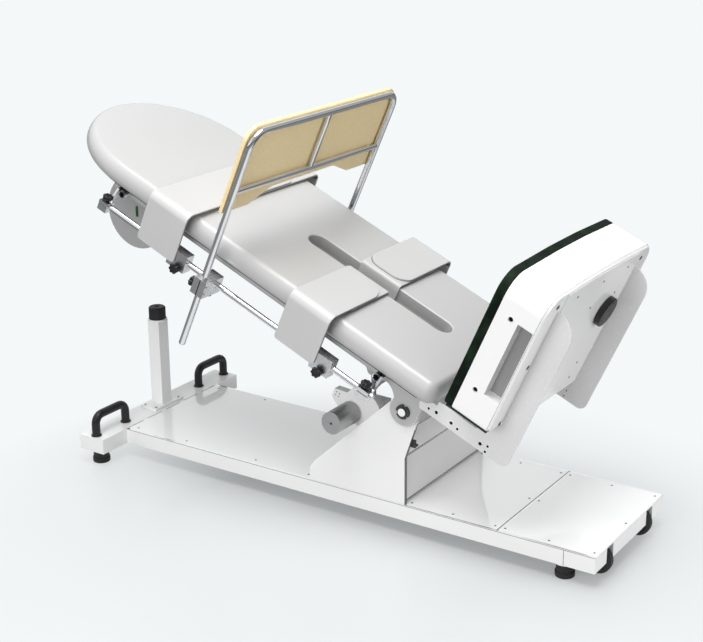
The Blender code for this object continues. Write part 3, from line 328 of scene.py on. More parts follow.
white = painted("white_powder_coat", 0.88, 0.30)
# The deck's white is set lighter than the white powder coat: painted light on the deck.
deck_lit_white = painted("deck_powder_coat", 0.94, 0.30, 1.0, 1.75)
# The front cover's white is set darker than the white powder coat: painted shade from the bed above
# it.
cover_shaded_white = painted("cover_powder_coat", 0.62, 0.34)
# The ear plates' white is set darker than the white powder coat: painted shade.
ear_shaded_white = painted("ear_powder_coat", 0.74, 0.26)
# The bed's white side frames are set to a mid grey: painted shade under the mattress.
bed_frame_shaded_grey = painted("bed_powder_coat", 0.46, 0.30)
# The head discs' light paint is set to a mid grey: painted shade.
grey = painted("grey_powder_coat", 0.40, 0.38)
# The motor's casting is set lighter than its grey, to make up for the shade under the bed: painted
# light.
motor_lit_grey = painted("motor_casting", 0.80, 0.32)
# Painted shade on the floors of the footboard's hand grips.
grip_shade_grey = painted("cut_edge_paint", 0.26, 0.40)
# Painted shade on the front edges of the pedestal's side plates.
cheek_edge_shade_grey = painted("flange_paint", 0.10, 0.40)
# Painted shadow lines in seams and gaps. The small screw heads take it too.
shadow_line_grey = painted("shadow_line_paint", 0.055, 0.50)
vinyl = leathered("mattress_vinyl", 0.48, 0.44, 0.5, 1.6)
# A darker copy of the mattress vinyl: painted shade inside the groove.
groove_vinyl = leathered("groove_vinyl", 0.34, 0.40, 0.6, 1.7)
strap_vinyl = leathered("strap_vinyl", 0.52, 0.42, 0.15, 1.5)
# Dark sheets under the straps: painted shadow.
strap_backing = leathered("strap_backing", 0.13, 0.60, 0.0, 1.5)
# Bright metal strips that paint the highlight lines along edges and folds.
highlight_strip_metal = polished("bare_cut_edge", (0.95, 0.95, 0.96), 0.10)
chrome = polished("chrome_tube", (0.86, 0.86, 0.88), 0.04)
sleeve_grey = brushed("motor_sleeve", (0.44, 0.44, 0.44), 0.40, (16.0, 0.6, 16.0))
steel = brushed("turned_steel", (0.56, 0.56, 0.57), 0.26, (1.0, 14.0, 1.0))
dark_steel = brushed("dark_ring_steel", (0.10, 0.10, 0.10), 0.42, (1.0, 14.0, 1.0))
aluminium = brushed("clamp_aluminium", (0.84, 0.84, 0.85), 0.27, (1.0, 1.0, 16.0))
rubber = moulded("black_rubber_skin", (0.016, 0.016, 0.016), 0.55, 260.0)
plastic = moulded("black_moulded_plastic", (0.012, 0.012, 0.013), 0.36, 420.0)
# The bed's black board, and dark strips of painted shade under the mattress and below the footboard
# shell.
black_board_and_shade = moulded("black_board_face", (0.022, 0.022, 0.022), 0.6, 160.0)
hole_black = moulded("hole_shadow", (0.004, 0.004, 0.004), 0.8, 300.0)
signal_green = moulded("green_indicator", (0.010, 0.12, 0.030), 0.35, 400.0)
white_plastic = moulded("white_plastic_plug", (0.80, 0.80, 0.80), 0.35, 400.0)
green = marbled_rubber("green_rubber_pad")
board = veneered("beige_board_face")


# Modifier helpers


def new_group(name):
    """A geometry node group, with the socket it starts from and the one it ends in."""
    group = bpy.data.node_groups.new(name, "GeometryNodeTree")
    for end in ("INPUT", "OUTPUT"):
        group.interface.new_socket("Geometry", in_out=end, socket_type="NodeSocketGeometry")
    start = group.nodes.new("NodeGroupInput").outputs[0]
    return group, start, group.nodes.new("NodeGroupOutput").inputs[0]


def shade_group():
    """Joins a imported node's loose corners and shades it smoothly between its sharp edges."""
    group, geometry, end = new_group("clean_shading")
    remove = group.nodes.new("GeometryNodeRemoveAttribute")
    remove.inputs["Name"].default_value = "custom_normal"
    merge = group.nodes.new("GeometryNodeMergeByDistance")
    merge.inputs["Distance"].default_value = 0.00001
    for node in (remove, merge, group.nodes.new("GeometryNodeSetShadeSmooth")):
        group.links.new(geometry, node.inputs["Geometry"])
        geometry = node.outputs["Geometry"]
    group.links.new(geometry, end)
    return group


def sharp_group():
    """Marks the edges over an angle as sharp."""
    group, geometry, end = new_group("sharp_edges")
    over = group.nodes.new("FunctionNodeCompare")
    over.operation = "GREATER_THAN"
    over.inputs["B"].default_value = math.radians(38)
    mark = group.nodes.new("GeometryNodeSetShadeSmooth")
    mark.domain = "EDGE"
    mark.inputs["Shade Smooth"].default_value = False
    angle = group.nodes.new("GeometryNodeInputMeshEdgeAngle")
    group.links.new(geometry, mark.inputs["Geometry"])
    group.links.new(angle.outputs["Unsigned Angle"], over.inputs["A"])
    group.links.new(over.outputs["Result"], mark.inputs["Selection"])
    group.links.new(mark.outputs["Geometry"], end)
    return group


clean_shading = shade_group()
sharp_edges = sharp_group()


def soften(obj, width, segments=2, from_packed=False):
    """Rounds an object's sharp edges and evens its shading, with modifiers only."""
    if from_packed:
        obj.modifiers.new("clean_shading", "NODES").node_group = clean_shading
        flat = obj.modifiers.new("flat_faces", "DECIMATE")
        flat.decimate_type = "DISSOLVE"
        flat.angle_limit = math.radians(0.6)
    if width > 0:
        bevel = obj.modifiers.new("soft_edges", "BEVEL")
        bevel.width = width
        bevel.segments = segments
        bevel.limit_method = "ANGLE"
        bevel.angle_limit = math.radians(34)
        bevel.use_clamp_overlap = True
    obj.modifiers.new("sharp_edges", "NODES").node_group = sharp_edges
    weighted = obj.modifiers.new("even_normals", "WEIGHTED_NORMAL")
    weighted.keep_sharp = True


def dress(made, nodes, width=0.0008, segments=2):
    """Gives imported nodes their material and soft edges."""
    for node in nodes:
        obj = frame["nodes"][node]
        if not obj.material_slots:
            obj.data.materials.append(made)
        for slot in obj.material_slots:
            slot.link = "OBJECT"
            slot.material = made
        soften(obj, width, segments, from_packed=True)


def both(*stems):
    """The near and the far node of each stem."""
    return [f"{stem}_{name}" for stem in stems for _, name in sides]


# Shape helpers


def joined(shapes):
    """Several shapes in one bmesh."""
    whole = bmesh.new()
    for shape in shapes:
        mesh = bpy.data.meshes.new("part")
        bmesh.ops.recalc_face_normals(shape, faces=shape.faces)
        shape.to_mesh(mesh)
        shape.free()
        whole.from_mesh(mesh)
        bpy.data.meshes.remove(mesh)
    return whole


def placed(name, data):
    """A new object in the scene."""
    obj = bpy.data.objects.new(name, data)
    bpy.context.scene.collection.objects.link(obj)
    return obj


def solid(name, bm):
    """A new object from a bmesh, with its faces turned outward."""
    bmesh.ops.recalc_face_normals(bm, faces=bm.faces)
    mesh = bpy.data.meshes.new(name)
    bm.to_mesh(mesh)
    bm.free()
    return placed(name, mesh)


def piece(name, shapes, made, body="bed", width=0.0, stands_for=()):
    """One visible piece from one or more shapes. It rides on a CAD body."""
    obj = solid(name, joined(shapes))
    obj.data.materials.append(made)
    obj.data.shade_smooth()
    obj.matrix_world = bed_frame if body in bed_bodies else Matrix.Identity(4)
    soften(obj, width)
    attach(obj, body)
    if stands_for:
        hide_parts(*stands_for)
    return obj


def skin(rings, closed=False):
    """Skins point rings of one count into a solid, or into a loop when closed."""
    bm = bmesh.new()
    made = [[bm.verts.new(point) for point in ring] for ring in rings]
    count = len(made[0])
    pairs = list(zip(made, made[1:]))
    if closed:
        pairs.append((made[-1], made[0]))
    for low, high in pairs:
        for i in range(count):
            j = (i + 1) % count
            bm.faces.new((low[i], low[j], high[j], high[i]))
    if not closed:
        bm.faces.new(list(reversed(made[0])))
        bm.faces.new(made[-1])
    return bm


def box(corner, opposite):
    """A box between two opposite corners."""
    size = [abs(opposite[i] - corner[i]) for i in range(3)]
    middle = [(opposite[i] + corner[i]) / 2 for i in range(3)]
    bm = bmesh.new()
    matrix = Matrix.Translation(middle) @ Matrix.Diagonal((*size, 1.0))
    bmesh.ops.create_cube(bm, size=1.0, matrix=matrix)
    return bm


def circle(radius, count):
    """Points round a circle."""
    angles = [2 * math.pi * k / count for k in range(count)]
    return [(radius * math.cos(angle), radius * math.sin(angle)) for angle in angles]


def spokes(axis, count):
    """Unit vectors square to an axis, evenly spread round it."""
    side = axis.orthogonal().normalized()
    other = axis.cross(side)
    return [side * a + other * b for a, b in circle(1.0, count)]


def turned(start, axis, profile, segments=32):
    """Turns a profile of (distance along, radius) pairs about an axis."""
    start = Vector(start)
    axis = Vector(axis).normalized()
    around = spokes(axis, segments)
    rings = [[start + axis * along + spoke * radius for spoke in around] for along, radius in profile]
    return skin(rings)


def ring(spot, axis, radius, thickness):
    """A small round bead about an axis."""
    spot = Vector(spot)
    axis = Vector(axis).normalized()
    section = circle(thickness, 8)
    around = spokes(axis, 24)
    rings = [[spot + spoke * (radius + a) + axis * b for a, b in section] for spoke in around]
    return skin(rings, closed=True)


def arc(centre, radius, start_deg, end_deg, steps):
    """Points on an arc, both ends included."""
    points = []
    for i in range(steps + 1):
        angle = math.radians(start_deg + (end_deg - start_deg) * i / steps)
        points.append((centre[0] + radius * math.cos(angle), centre[1] + radius * math.sin(angle)))
    return points


def button_head(spot, axis, radius, height):
    """A round screw head with a socket in its crown."""
    socket = radius * 0.42
    profile = (
        (0.0, radius), (height * 0.45, radius * 0.98), (height * 0.85, radius * 0.72),
        (height, radius * 0.50), (height, socket), (height * 0.35, socket * 0.9),
    )
    return turned(spot, axis, profile, 16)


# The platform


def deck_screws():
    """The rows of small countersunk screws along the cover panels."""
    seam = -foot_panel_length
    foot_rows = (-0.015, seam / 2, seam + 0.015)
    head_rows = (seam - 0.018, seam - 0.163, seam - 0.308, -1.0165, -1.230, -1.524, -1.739)
    spots = [(foot_end_x + row, y) for row in foot_rows + head_rows for y in (-0.223, 0.223)]
    spots += [(foot_end_x + row, 0.0) for row in (foot_rows[0], foot_rows[2], head_rows[0])]
    shapes = [button_head((x, y, deck_top), up, screw_radius, screw_height) for x, y in spots]
    piece("deck_screws", shapes, shadow_line_grey, "platform")


def frame_seams():
    """Painted shadow lines in the joints where the side tubes meet the end member."""
    x = foot_end_x - end_member_depth
    low, high = 0.0505, 0.0995
    shapes = []
    for side, _ in sides:
        y = side * deck_half_width
        shapes.append(box((x, y - side * 0.0004, low), (x + 0.0016, y + side * 0.0002, high)))
    piece("frame_seams", shapes, shadow_line_grey, "platform")


def deck_lines():
    """Painted highlight strips along the cover panels' side edges and beside their split, and painted
    shadow lines in the gaps at their ends and under their side edges.
    """
    split = foot_end_x - foot_panel_length
    head = foot_end_x - deck_length + gap
    high = deck_top + gap
    low = deck_top - 0.0004
    half = deck_half_width - 0.001
    bright = []
    dark = [box((split - 0.0022, -half, low), (split + 0.0006, half, high))]
    for side, _ in sides:
        y = side * deck_half_width
        bright.append(box((head, y - side * 0.0055, low), (foot_end_x, y + side * 0.0002, high)))
        edge = y + side * gap
        dark.append(box((head, y - side * 0.0008, low - 0.0030), (foot_end_x, edge, low - 0.0018)))
    bright.append(box((split + 0.0016, -half, low), (split + 0.0050, half, high)))
    dashes = 5
    pitch = 2 * deck_half_width / dashes
    margin = 0.012
    for k in range(dashes):
        y = -deck_half_width + pitch * k
        dark.append(box((head - 0.0020, y + margin, low), (head + 0.0004, y + pitch - margin, high)))
    piece("deck_edges", bright, highlight_strip_metal, "platform")
    piece("deck_gaps", dark, shadow_line_grey, "platform")


def foot_ribs():
    """A moulded bead round each rubber foot."""
    level, radius, bead = 0.0165, 0.0290, 0.0012
    shapes = []
    for node in feet:
        low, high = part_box(node)
        centre = (low + high) / 2
        shapes.append(ring((centre.x, centre.y, level), up, radius, bead))
    piece("foot_ribs", shapes, rubber, "platform")


def wheel_hubs():
    """Stepped hub plates on both faces of each transport wheel."""
    face = 0.0166
    profile = (
        (0.0, 0.0300), (0.0012, 0.0295), (0.0012, 0.0250), (0.0004, 0.0240),
        (0.0004, 0.0150), (0.0020, 0.0140), (0.0024, 0.0100), (0.0004, 0.0096),
    )
    for (_, name), body in zip(sides, ("left_wheel", "right_wheel")):
        x, y, z = joints[f"wheel_{name}_roll"]["pos_m"]
        shapes = [turned((x, y + out * face, z), (0, out, 0), profile, 40) for out in (-1, 1)]
        piece("wheel_hub_" + name, shapes, plastic, body)


def handle_collars():
    """A moulded collar at each leg of the carry handles."""
    profile = ((0.0, 0.0185), (0.003, 0.0185), (0.0045, 0.0165), (0.0050, 0.0146), (0.0010, 0.0146))
    leg_in = 0.0145
    shapes = []
    for _, name in sides:
        low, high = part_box("carry_handle_" + name)
        for y in (low.y + leg_in, high.y - leg_in):
            shapes.append(turned(((low.x + high.x) / 2, y, deck_top + gap), up, profile, 28))
    piece("handle_collars", shapes, plastic, "platform")


def pivot_plugs_and_edge_shades():
    """The white plug in each pivot pin, and a dark strip of painted shade over each side plate's front
    edge.
    """
    profile = ((0.0, 0.0128), (0.0008, 0.0128), (0.0014, 0.0118), (0.0014, 0.0090), (0.0007, 0.0082))
    bends = ((cheek_front_x, deck_top + gap), (cheek_front_x, cover_bend_z), cheek_top)
    back, front = -0.0002, 0.0012
    inner, outer = 0.2370, 0.2498
    corners = ((back, outer), (front, outer), (front, inner), (back, inner))
    for side, name in sides:
        low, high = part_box("pivot_pin_" + name)
        end = low.y if side < 0 else high.y
        plug = turned((pivot.x, end, pivot.z), (0, side, 0), profile, 40)
        piece("pivot_plug_" + name, [plug], white_plastic, "platform")
        # A dark strip of painted shade along the side plate's front edge.
        edge_strip = skin([[(x + out, side * y, z) for out, y in corners] for x, z in bends])
        piece("cheek_flange_" + name, [edge_strip], cheek_edge_shade_grey, "platform", 0.0003)


def cover_lines():
    """A painted highlight along each of the two folds of the pedestal's front cover, each between two
    painted shadow lines.
    """
    x = cheek_front_x - 0.0085
    half = 0.236
    bright = []
    dark = []
    lines = ((0.0, 0.0018, bright), (-0.0026, 0.0010, dark), (0.0030, 0.0010, dark))
    for z in (deck_top + 0.0035, cover_bend_z - 0.0012):
        for rise, radius, shapes in lines:
            profile = ((0, radius), (2 * half, radius))
            shapes.append(turned((x, -half, z + rise), (0, 1, 0), profile, 12))
    piece("cover_bend_lines", bright, highlight_strip_metal, "platform")
    piece("cover_shadow_lines", dark, shadow_line_grey, "platform")


def cover_latch():
    """The small catch on the front cover, with its wing."""
    _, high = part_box("pedestal_front_cover")
    x, z = high.x - 0.006, 0.3080
    y = -deck_half_width + 0.012
    catch = box((x - 0.006, y, z - 0.012), (x + 0.010, y + 0.006, z + 0.014))
    wing = box((x + 0.004, y - 0.001, z - 0.006), (x + 0.016, y + 0.007, z + 0.002))
    piece("cover_latch", [catch, wing], dark_steel, "platform", 0.001)


def post_bolts():
    """Four bolts in the post's base plate."""
    low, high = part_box("post")
    x, z = (low.x + high.x) / 2, low.z + 0.008
    spots = [(x + out, y, z) for out in (-0.0252, 0.0252) for y in (-0.062, 0.062)]
    shapes = [button_head(spot, up, 0.005, 0.003) for spot in spots]
    piece("post_bolts", shapes, steel, "platform")


# The lift drive


def motor_sleeve():
    """The motor's sleeve with its ribs and front bead, and the boss on its end."""
    low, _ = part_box("gear_motor")
    centre = bed_frame @ Vector((motor_u, 0.0, motor_n))
    x, z = centre.x, centre.z
    out = (0, -1, 0)
    reach = motor_radius - 0.0003
    outer = reach + 0.0005
    chamfer = 0.0012
    front = -0.2310
    rib_front = -0.236
    run = front - low.y
    rib = ((0.0, 0.0004), (0.004, 0.0010), (0.078, 0.0010), (0.082, 0.0004))
    shapes = [turned((x + a, rib_front, z + b), out, rib, 8) for a, b in circle(reach, 24)]
    shapes.append(ring((x, front + 0.001, z), (0, 1, 0), reach, 0.0014))
    profile = (
        (0, reach), (0.001, outer), (run - chamfer, outer), (run, outer - chamfer), (run + gap, 0.030),
    )
    shapes.append(turned((x, front, z), out, profile, 48))
    piece("motor_ribs", shapes, sleeve_grey, "lift_gear")
    profile = ((0, 0.0042), (0.0008, 0.0040), (0.001, 0.002))
    boss = turned((x, low.y - gap, z), out, profile, 20)
    piece("motor_end_boss", [boss], dark_steel, "lift_gear")


def lift_thread():
    """The lift screw with its trapezoid thread and eye."""
    start = Vector(joints["lift_screw_swing"]["pos_m"])
    axis = (Vector(joints["lift_gear_swing"]["pos_m"]) - start).normalized()
    side = Vector((0, 1, 0))
    other = axis.cross(side)
    core = 0.0076
    crest = 0.0013
    pitch = 0.005
    length = 0.305
    neck = 0.020
    run = length - neck
    segments = 20
    per_turn = 6
    count = int(run / pitch * per_turn)
    around = circle(1.0, segments)
    rings = []
    for i in range(count + 1):
        along = neck + run * i / count
        loop = []
        for k, (a, b) in enumerate(around):
            phase = (along / pitch - k / segments) % 1.0
            wave = min(1.0, max(0.0, 2.0 - abs(phase - 0.5) * 6.0))
            radius = core + crest * wave if 0 < i < count else core
            loop.append(start + axis * along + (side * a + other * b) * radius)
        rings.append(loop)
    neck_rod = turned(start + axis * 0.012, axis, ((0.0, core), (0.009, core)), 20)
    rim = ((0, 0.0130), (0.001, 0.014), (0.011, 0.014), (0.012, 0.0130))
    eye = turned(start - side * 0.006, side, rim)
    piece("threaded_screw", [skin(rings), neck_rod, eye], steel, "lift_rod",
          stands_for=("lift_screw",))


# The mattress


def mattress_ring(inset, n):
    """Points round the mattress plan, drawn in by inset."""
    half = mattress_half_width - inset
    corner = max(mattress_corner - inset, 0.006)
    foot = mattress_foot_u - inset - corner
    head = mattress_head_u + mattress_half_width
    straight = 24
    plan = arc((foot, half - corner), corner, 0, 90, 8)
    plan += [(foot + (head - foot) * k / straight, half) for k in range(1, straight)]
    plan += arc((head, 0), half, 90, 270, 64)
    plan += [(head - (head - foot) * k / straight, -half) for k in range(1, straight)]
    plan += arc((foot, -half + corner), corner, 270, 360, 8)
    return [(u, y, n) for u, y in plan]


def mattress_shape(top):
    """A flat crowned top, a soft shoulder and drawn-in sides."""
    rise = 0.030
    waist = mattress_low + rise
    side = arc((0, 0), 1.0, 0, 90, 8)
    shoulder = arc((0, 0), 1.0, 0, 88, 10)[1:]
    levels = [(0.0255 * (1 - b), waist - rise * a) for a, b in side]
    levels += [(0.0275 * (1 - a), waist + (top - waist) * b) for a, b in shoulder]
    crown = ((0.0330, 0.10), (0.0600, 0.45), (0.1000, 0.75), (0.1500, 0.95), (0.2200, 1.0))
    levels += [(inset, top + mattress_crown * share) for inset, share in crown]
    return skin([mattress_ring(inset, n) for inset, n in levels])


def groove_cutter(high):
    """The long groove as a solid, with a rounded lip and a rounded foot."""
    floor = high - groove_depth
    lip = 0.0055
    sections = (
        (-0.012, floor), (-0.005, floor + 0.0020), (-0.0010, floor + 0.0070), (0.0, floor + 0.013),
        *((lip - a, high - lip + b) for a, b in arc((0, 0), lip, 0, 90, 5)),
        (lip + 0.012, high + 0.004),
    )
    rings = []
    for grow, n in sections:
        half = groove_half_width + grow
        plan = arc((groove_end_u - groove_half_width, 0), half, -90, 90, 20)
        plan += arc((groove_start_u + groove_half_width, 0), half, 90, 270, 20)
        rings.append([(u, y, n) for u, y in plan])
    cutter = solid("groove_cutter", skin(rings))
    cutter.matrix_world = bed_frame
    return cutter


def mattress():
    """The coated pad with its long groove cut in, whose walls take a darker vinyl as painted shade."""
    high = mattress_high + mattress_crown
    floor = high - groove_depth
    cutter = groove_cutter(high)
    obj = piece("mattress_pad", [mattress_shape(mattress_high)], vinyl,
                stands_for=("mattress",))
    obj.modifiers.clear()
    cut = obj.modifiers.new("groove", "BOOLEAN")
    cut.operation = "DIFFERENCE"
    cut.solver = "EXACT"
    cut.object = cutter
    bpy.context.view_layer.update()
    depsgraph = bpy.context.evaluated_depsgraph_get()
    result = bpy.data.meshes.new_from_object(obj.evaluated_get(depsgraph))
    obj.modifiers.clear()
    obj.data = result
    bpy.data.objects.remove(cutter, do_unlink=True)
    result.materials.clear()
    result.materials.append(vinyl)
    result.materials.append(groove_vinyl)
    # Faces inside the groove take the darker vinyl: painted shade in the groove.
    for face in result.polygons:
        u, y, n = face.center
        across = abs(y) < groove_half_width + 0.001 and floor - 0.001 < n < high - 0.004
        if across and groove_start_u < u < groove_end_u:
            face.material_index = 1
    result.shade_smooth()
    soften(obj, 0.0)


# The straps


def strap_stations(lengths, ends):
    """Distances along a strap that need a row: its bends, even steps and rounded corners."""
    total = lengths[-1]
    stations = set(lengths) | {total * k / 40 for k in range(1, 40)}
    for corner, at_end in zip(ends, (False, True)):
        for reach in corner:
            for k in range(9):
                distance = reach * (1 - math.cos(math.radians(90 * k / 8)))
                stations.add(total - distance if at_end else distance)
    stations = sorted({round(value, 5) for value in stations})
    kept = [stations[0]]
    for value in stations[1:]:
        if value - kept[-1] > 0.0004:
            kept.append(value)
    return kept


def strap_row(points, lengths, value, centre_u, width, ends):
    """Points across a strap at a distance along it, drawn in where its corners are round."""
    i = max(k for k in range(len(points) - 1) if lengths[k] <= value + 1e-9)
    share = (value - lengths[i]) / (lengths[i + 1] - lengths[i])
    spot = points[i].lerp(points[i + 1], share)
    edges = [width / 2, width / 2]
    for corner, distance in zip(ends, (value, lengths[-1] - value)):
        for hand, reach in enumerate(corner):
            if distance < reach:
                rounded = math.sqrt(max(reach**2 - (reach - distance)**2, 0.0))
                edges[hand] = min(edges[hand], width / 2 - reach + rounded)
    first = centre_u - edges[0]
    step = (edges[0] + edges[1]) / strap_steps
    return [(first + step * k, spot.x, spot.y) for k in range(strap_steps + 1)]


def strap_surface(name, path, centre_u, width, ends, body, node=None):
    """A padded strap along a path of (y, n) points, or a dark sheet of painted shadow under one
    when it stands for no node. Each end has a head and a foot corner radius."""
    points = [Vector(point) for point in path]
    lengths = [0.0]
    for before, after in zip(points, points[1:]):
        lengths.append(lengths[-1] + (after - before).length)
    bm = bmesh.new()
    rows = []
    for value in strap_stations(lengths, ends):
        row = strap_row(points, lengths, value, centre_u, width, ends)
        rows.append([bm.verts.new(point) for point in row])
    for low, high in zip(rows, rows[1:]):
        for k in range(strap_steps):
            bm.faces.new((low[k], low[k + 1], high[k + 1], high[k]))
    made = strap_vinyl if node else strap_backing
    obj = piece(name, [bm], made, body, stands_for=(node,) if node else ())
    obj.modifiers.clear()
    thick = obj.modifiers.new("thickness", "SOLIDIFY")
    thick.thickness = strap if node else shadow_sheet_thickness
    thick.offset = 0.0
    thick.use_even_offset = True
    if node:
        round_edge = obj.modifiers.new("round_edge", "BEVEL")
        round_edge.width = 0.0021
        round_edge.segments = 3
        round_edge.limit_method = "ANGLE"
        round_edge.angle_limit = math.radians(50)
        obj.modifiers.new("sharp_edges", "NODES").node_group = sharp_edges


def shadowed_strap(name, kind, upper, lower):
    """A strap and the dark sheet of painted shadow under it, each given as its path and its ends.
    The kind names both the body it rides on and the node it stands for."""
    centre_u, width = (chest_u, chest_width) if kind.startswith("chest") else (knee_u, knee_width)
    body, node = kind.format("band"), kind.format("strap")
    strap_surface(name, upper[0], centre_u, width, upper[1], body, node)
    strap_surface(name + "_backing", lower[0], centre_u, width + shadow_sheet_spread, lower[1], body)


def over_edge(side, level, end_y, inset=0.0):
    """A strap's path: up outside the rail, round the mattress edge, and over to end_y.
    The dark sheet of painted shadow on the far side leaves the upright part out."""
    y = strap_drop_y + strap / 2 - inset
    bend = strap_bend - inset
    points = arc((y - bend, level - inset - bend), bend, 0, 90, 10)
    if side < 0 or not inset:
        points.insert(0, (y, strap_low + inset))
    return [(side * a, b) for a, b in points] + [(end_y, level - inset)]


def straps():
    """The chest strap's two halves and the flap and inner part of each knee strap."""
    upper = strap_level + strap - strap_overlap + 0.0008
    runs = (
        ("chest_strap_under", "chest_{}", 1, strap_level, chest_under_y, (0.010, 0.010)),
        ("chest_strap_over", "chest_{}", -1, upper, chest_end_y, (0.030, 0.030)),
        ("knee_flap_near", "knee_{}_near", -1, upper, -knee_end_y, (0.010, 0.072)),
        ("knee_flap_far", "knee_{}_far", 1, upper, knee_end_y, (0.052, 0.052)),
    )
    for name, kind, side, level, end_y, corners in runs:
        path = over_edge(side, level, end_y)
        # Under each strap lies a slightly wider dark sheet of painted shadow.
        under = over_edge(side, level, end_y - side * shadow_sheet_spread / 2, shadow_sheet_drop)
        ends = ((0.011, 0.011), corners)
        shadowed_strap(name, kind, (path, ends), (under, ends))
    wall = groove_half_width - 0.0006 - strap / 2
    bend = wall + knee_bend
    foot = mattress_high + mattress_crown - groove_depth + 0.0006
    inner = [(wall, foot)] + arc((bend, strap_level - knee_bend), knee_bend, 180, 90, 6)
    inner.append((knee_under_y, strap_level))
    shelf = [(bend, strap_level - shadow_sheet_drop), (knee_under_y, strap_level - shadow_sheet_drop)]
    ends = ((0.004, 0.004), (0.008, 0.008))
    shelf_ends = ((0.0, 0.0), (0.008, 0.008))
    for side, name in sides:
        path = [(side * a, b) for a, b in inner]
        under = [(side * a, b) for a, b in shelf]
        shadowed_strap("knee_inner_" + name, "knee_{}_" + name, (path, ends), (under, shelf_ends))


# Knobs, clamps and the bed's edges


def star_knobs():
    """A lobed hand knob on each knob joint."""
    lobes = 7
    segments = lobes * 10
    lobe_depth = 0.0034
    dips = [(0.5 - 0.5 * math.cos(2 * math.pi * lobes * i / segments)) ** 1.5 for i in range(segments)]
    # Distance along the axis, radius, and share of the lobes' depth
    levels = (
        (0.0000, 0.0078, 0.0), (0.0048, 0.0078, 0.0), (0.0052, 0.0120, 0.3), (0.0060, 0.0150, 0.8),
        (0.0080, 0.0168, 1.0), (0.0110, 0.0175, 1.0), (0.0150, 0.0175, 1.0), (0.0178, 0.0168, 1.0),
        (0.0193, 0.0150, 0.9), (0.0200, 0.0120, 0.6), (0.0200, 0.0080, 0.0), (0.0194, 0.0072, 0.0),
        (0.0194, 0.0030, 0.0),
    )
    for name, joint in joints.items():
        if not name.startswith("knob_"):
            continue
        node = name.replace("_turn", "")
        axis = Vector(joint["axis"]).normalized()
        start = Vector(joint["pos_m"])
        around = list(zip(spokes(axis, segments), dips))
        rings = []
        for along, radius, share in levels:
            spot = start + axis * along
            rings.append([spot + spoke * (radius - lobe_depth * share * dip) for spoke, dip in around])
        piece("star_" + node, [skin(rings)], plastic, node + "_body",
              stands_for=(node,))


def board_edge():
    """A black strip along the board's edge that stands out under the mattress round both sides and the
    head: painted shade under the mattress's overhang.
    """
    low, high = 0.0837, 0.0923
    inner, outer = 0.2640, 0.2870
    foot = 0.029
    head = mattress_head_u + mattress_half_width
    path = [(foot, 90), *((head, 90 + 180 * k / 48) for k in range(49)), (foot, 270)]
    rings = []
    for u, angle in path:
        a, b = math.cos(math.radians(angle)), math.sin(math.radians(angle))
        section = ((inner, low), (outer, low), (outer, high), (inner, high))
        rings.append([(u + a * reach, b * reach, n) for reach, n in section])
    piece("board_edge", [skin(rings)], black_board_and_shade, width=0.0006)


def tray_clamp_details():
    """The split, cap screws and lower stud of each tray clamp."""
    split_y, face_y, screw_y = 0.4035, 0.4118, 0.4050
    low, high = 0.0004, 0.0576
    half = 0.0016
    profile = ((0.0, 0.0100), (0.0015, 0.0110), (0.0070, 0.0110), (0.0085, 0.0095))
    for side, name in sides:
        slit = box((tray_u - half, side * split_y, low), (tray_u + half, side * face_y, high))
        piece("tray_clamp_slit_" + name, [slit], hole_black, "tray_clamps")
        spots = [(tray_u + tray_clamp_half, side * screw_y, n) for n in (0.016, 0.042)]
        bolts = [button_head(spot, footward, screw_radius, 0.0020) for spot in spots]
        piece("tray_clamp_bolts_" + name, bolts, steel, "tray_clamps")
        stud = turned((tray_u, side * rail_y, -0.0125), down, profile, 24)
        piece("tray_stud_cap_" + name, [stud], plastic, "tray_clamps")


def rail_clamp_bolts():
    """Socket screws in the split end clamps of the side rails."""
    bolt_y, bolt_n, apart = 0.3515, 0.0100, 0.010
    for end, block_u in (("head", head_tube_u - 0.0185), ("foot", foot_tube_u - 0.0035)):
        for side, name in sides:
            spots = [(block_u + du, side * bolt_y, bolt_n) for du in (-apart, apart)]
            bolts = [button_head(spot, down, 0.0032, 0.0022) for spot in spots]
            piece(f"rail_clamp_bolts_{end}_{name}", bolts, steel)


# The footboard


def footboard_outline(inset):
    """The footboard's outline with large upper corners and an arched top, drawn in by inset."""
    half = footboard_half - inset
    low = footboard_low + inset
    high = footboard_high - inset
    small = footboard_foot_corner
    big = footboard_corner - inset
    shoulder = high - footboard_arch - big
    points = arc((half - small, low + small), small, -90, 0, 5)
    points += arc((half - big, shoulder), big, 0, 78, 14)
    points += [(half * 0.25, high), (-half * 0.25, high)]
    points += arc((-half + big, shoulder), big, 102, 180, 14)
    points += arc((-half + small, low + small), small, 180, 270, 5)
    return points


def shell_bead(name, made, u, inset, radius):
    """A round bead along the shell's outline."""
    section = circle(radius, 8)
    rings = [[(u + b, y, n) for y, n in footboard_outline(inset + a)] for a, b in section]
    piece(name, [skin(rings, closed=True)], made)


def shell_trim():
    """The shell's rear bead and the painted shadow line of its seam, painted shade on the floors of
    its hand grips and a dark strip of painted shade below it.
    """
    shell_bead("footboard_rim", white, shell_back_u - 0.0002, 0.0052, 0.0008)
    shell_bead("footboard_seam", shadow_line_grey, shell_back_u - 0.0068, 0.0002, 0.0005)
    half = 0.0242
    low, high = 0.2716, 0.5154
    for side, name in sides:
        y = side * (footboard_half - grip_depth)
        # Painted shade on each hand grip's floor.
        floor = box((grip_u - half, y, low), (grip_u + half, y + side * 0.0006, high))
        piece("grip_floor_" + name, [floor], grip_shade_grey)
    # A dark strip of painted shade below the shell.
    half = footboard_half - 0.006
    dark_strip = box((pad_u + 0.010, -half, footboard_low - 0.0075),
                 (shell_back_u - 0.006, half, footboard_low - gap))
    piece("shell_plinth", [dark_strip], black_board_and_shade, width=0.0008)


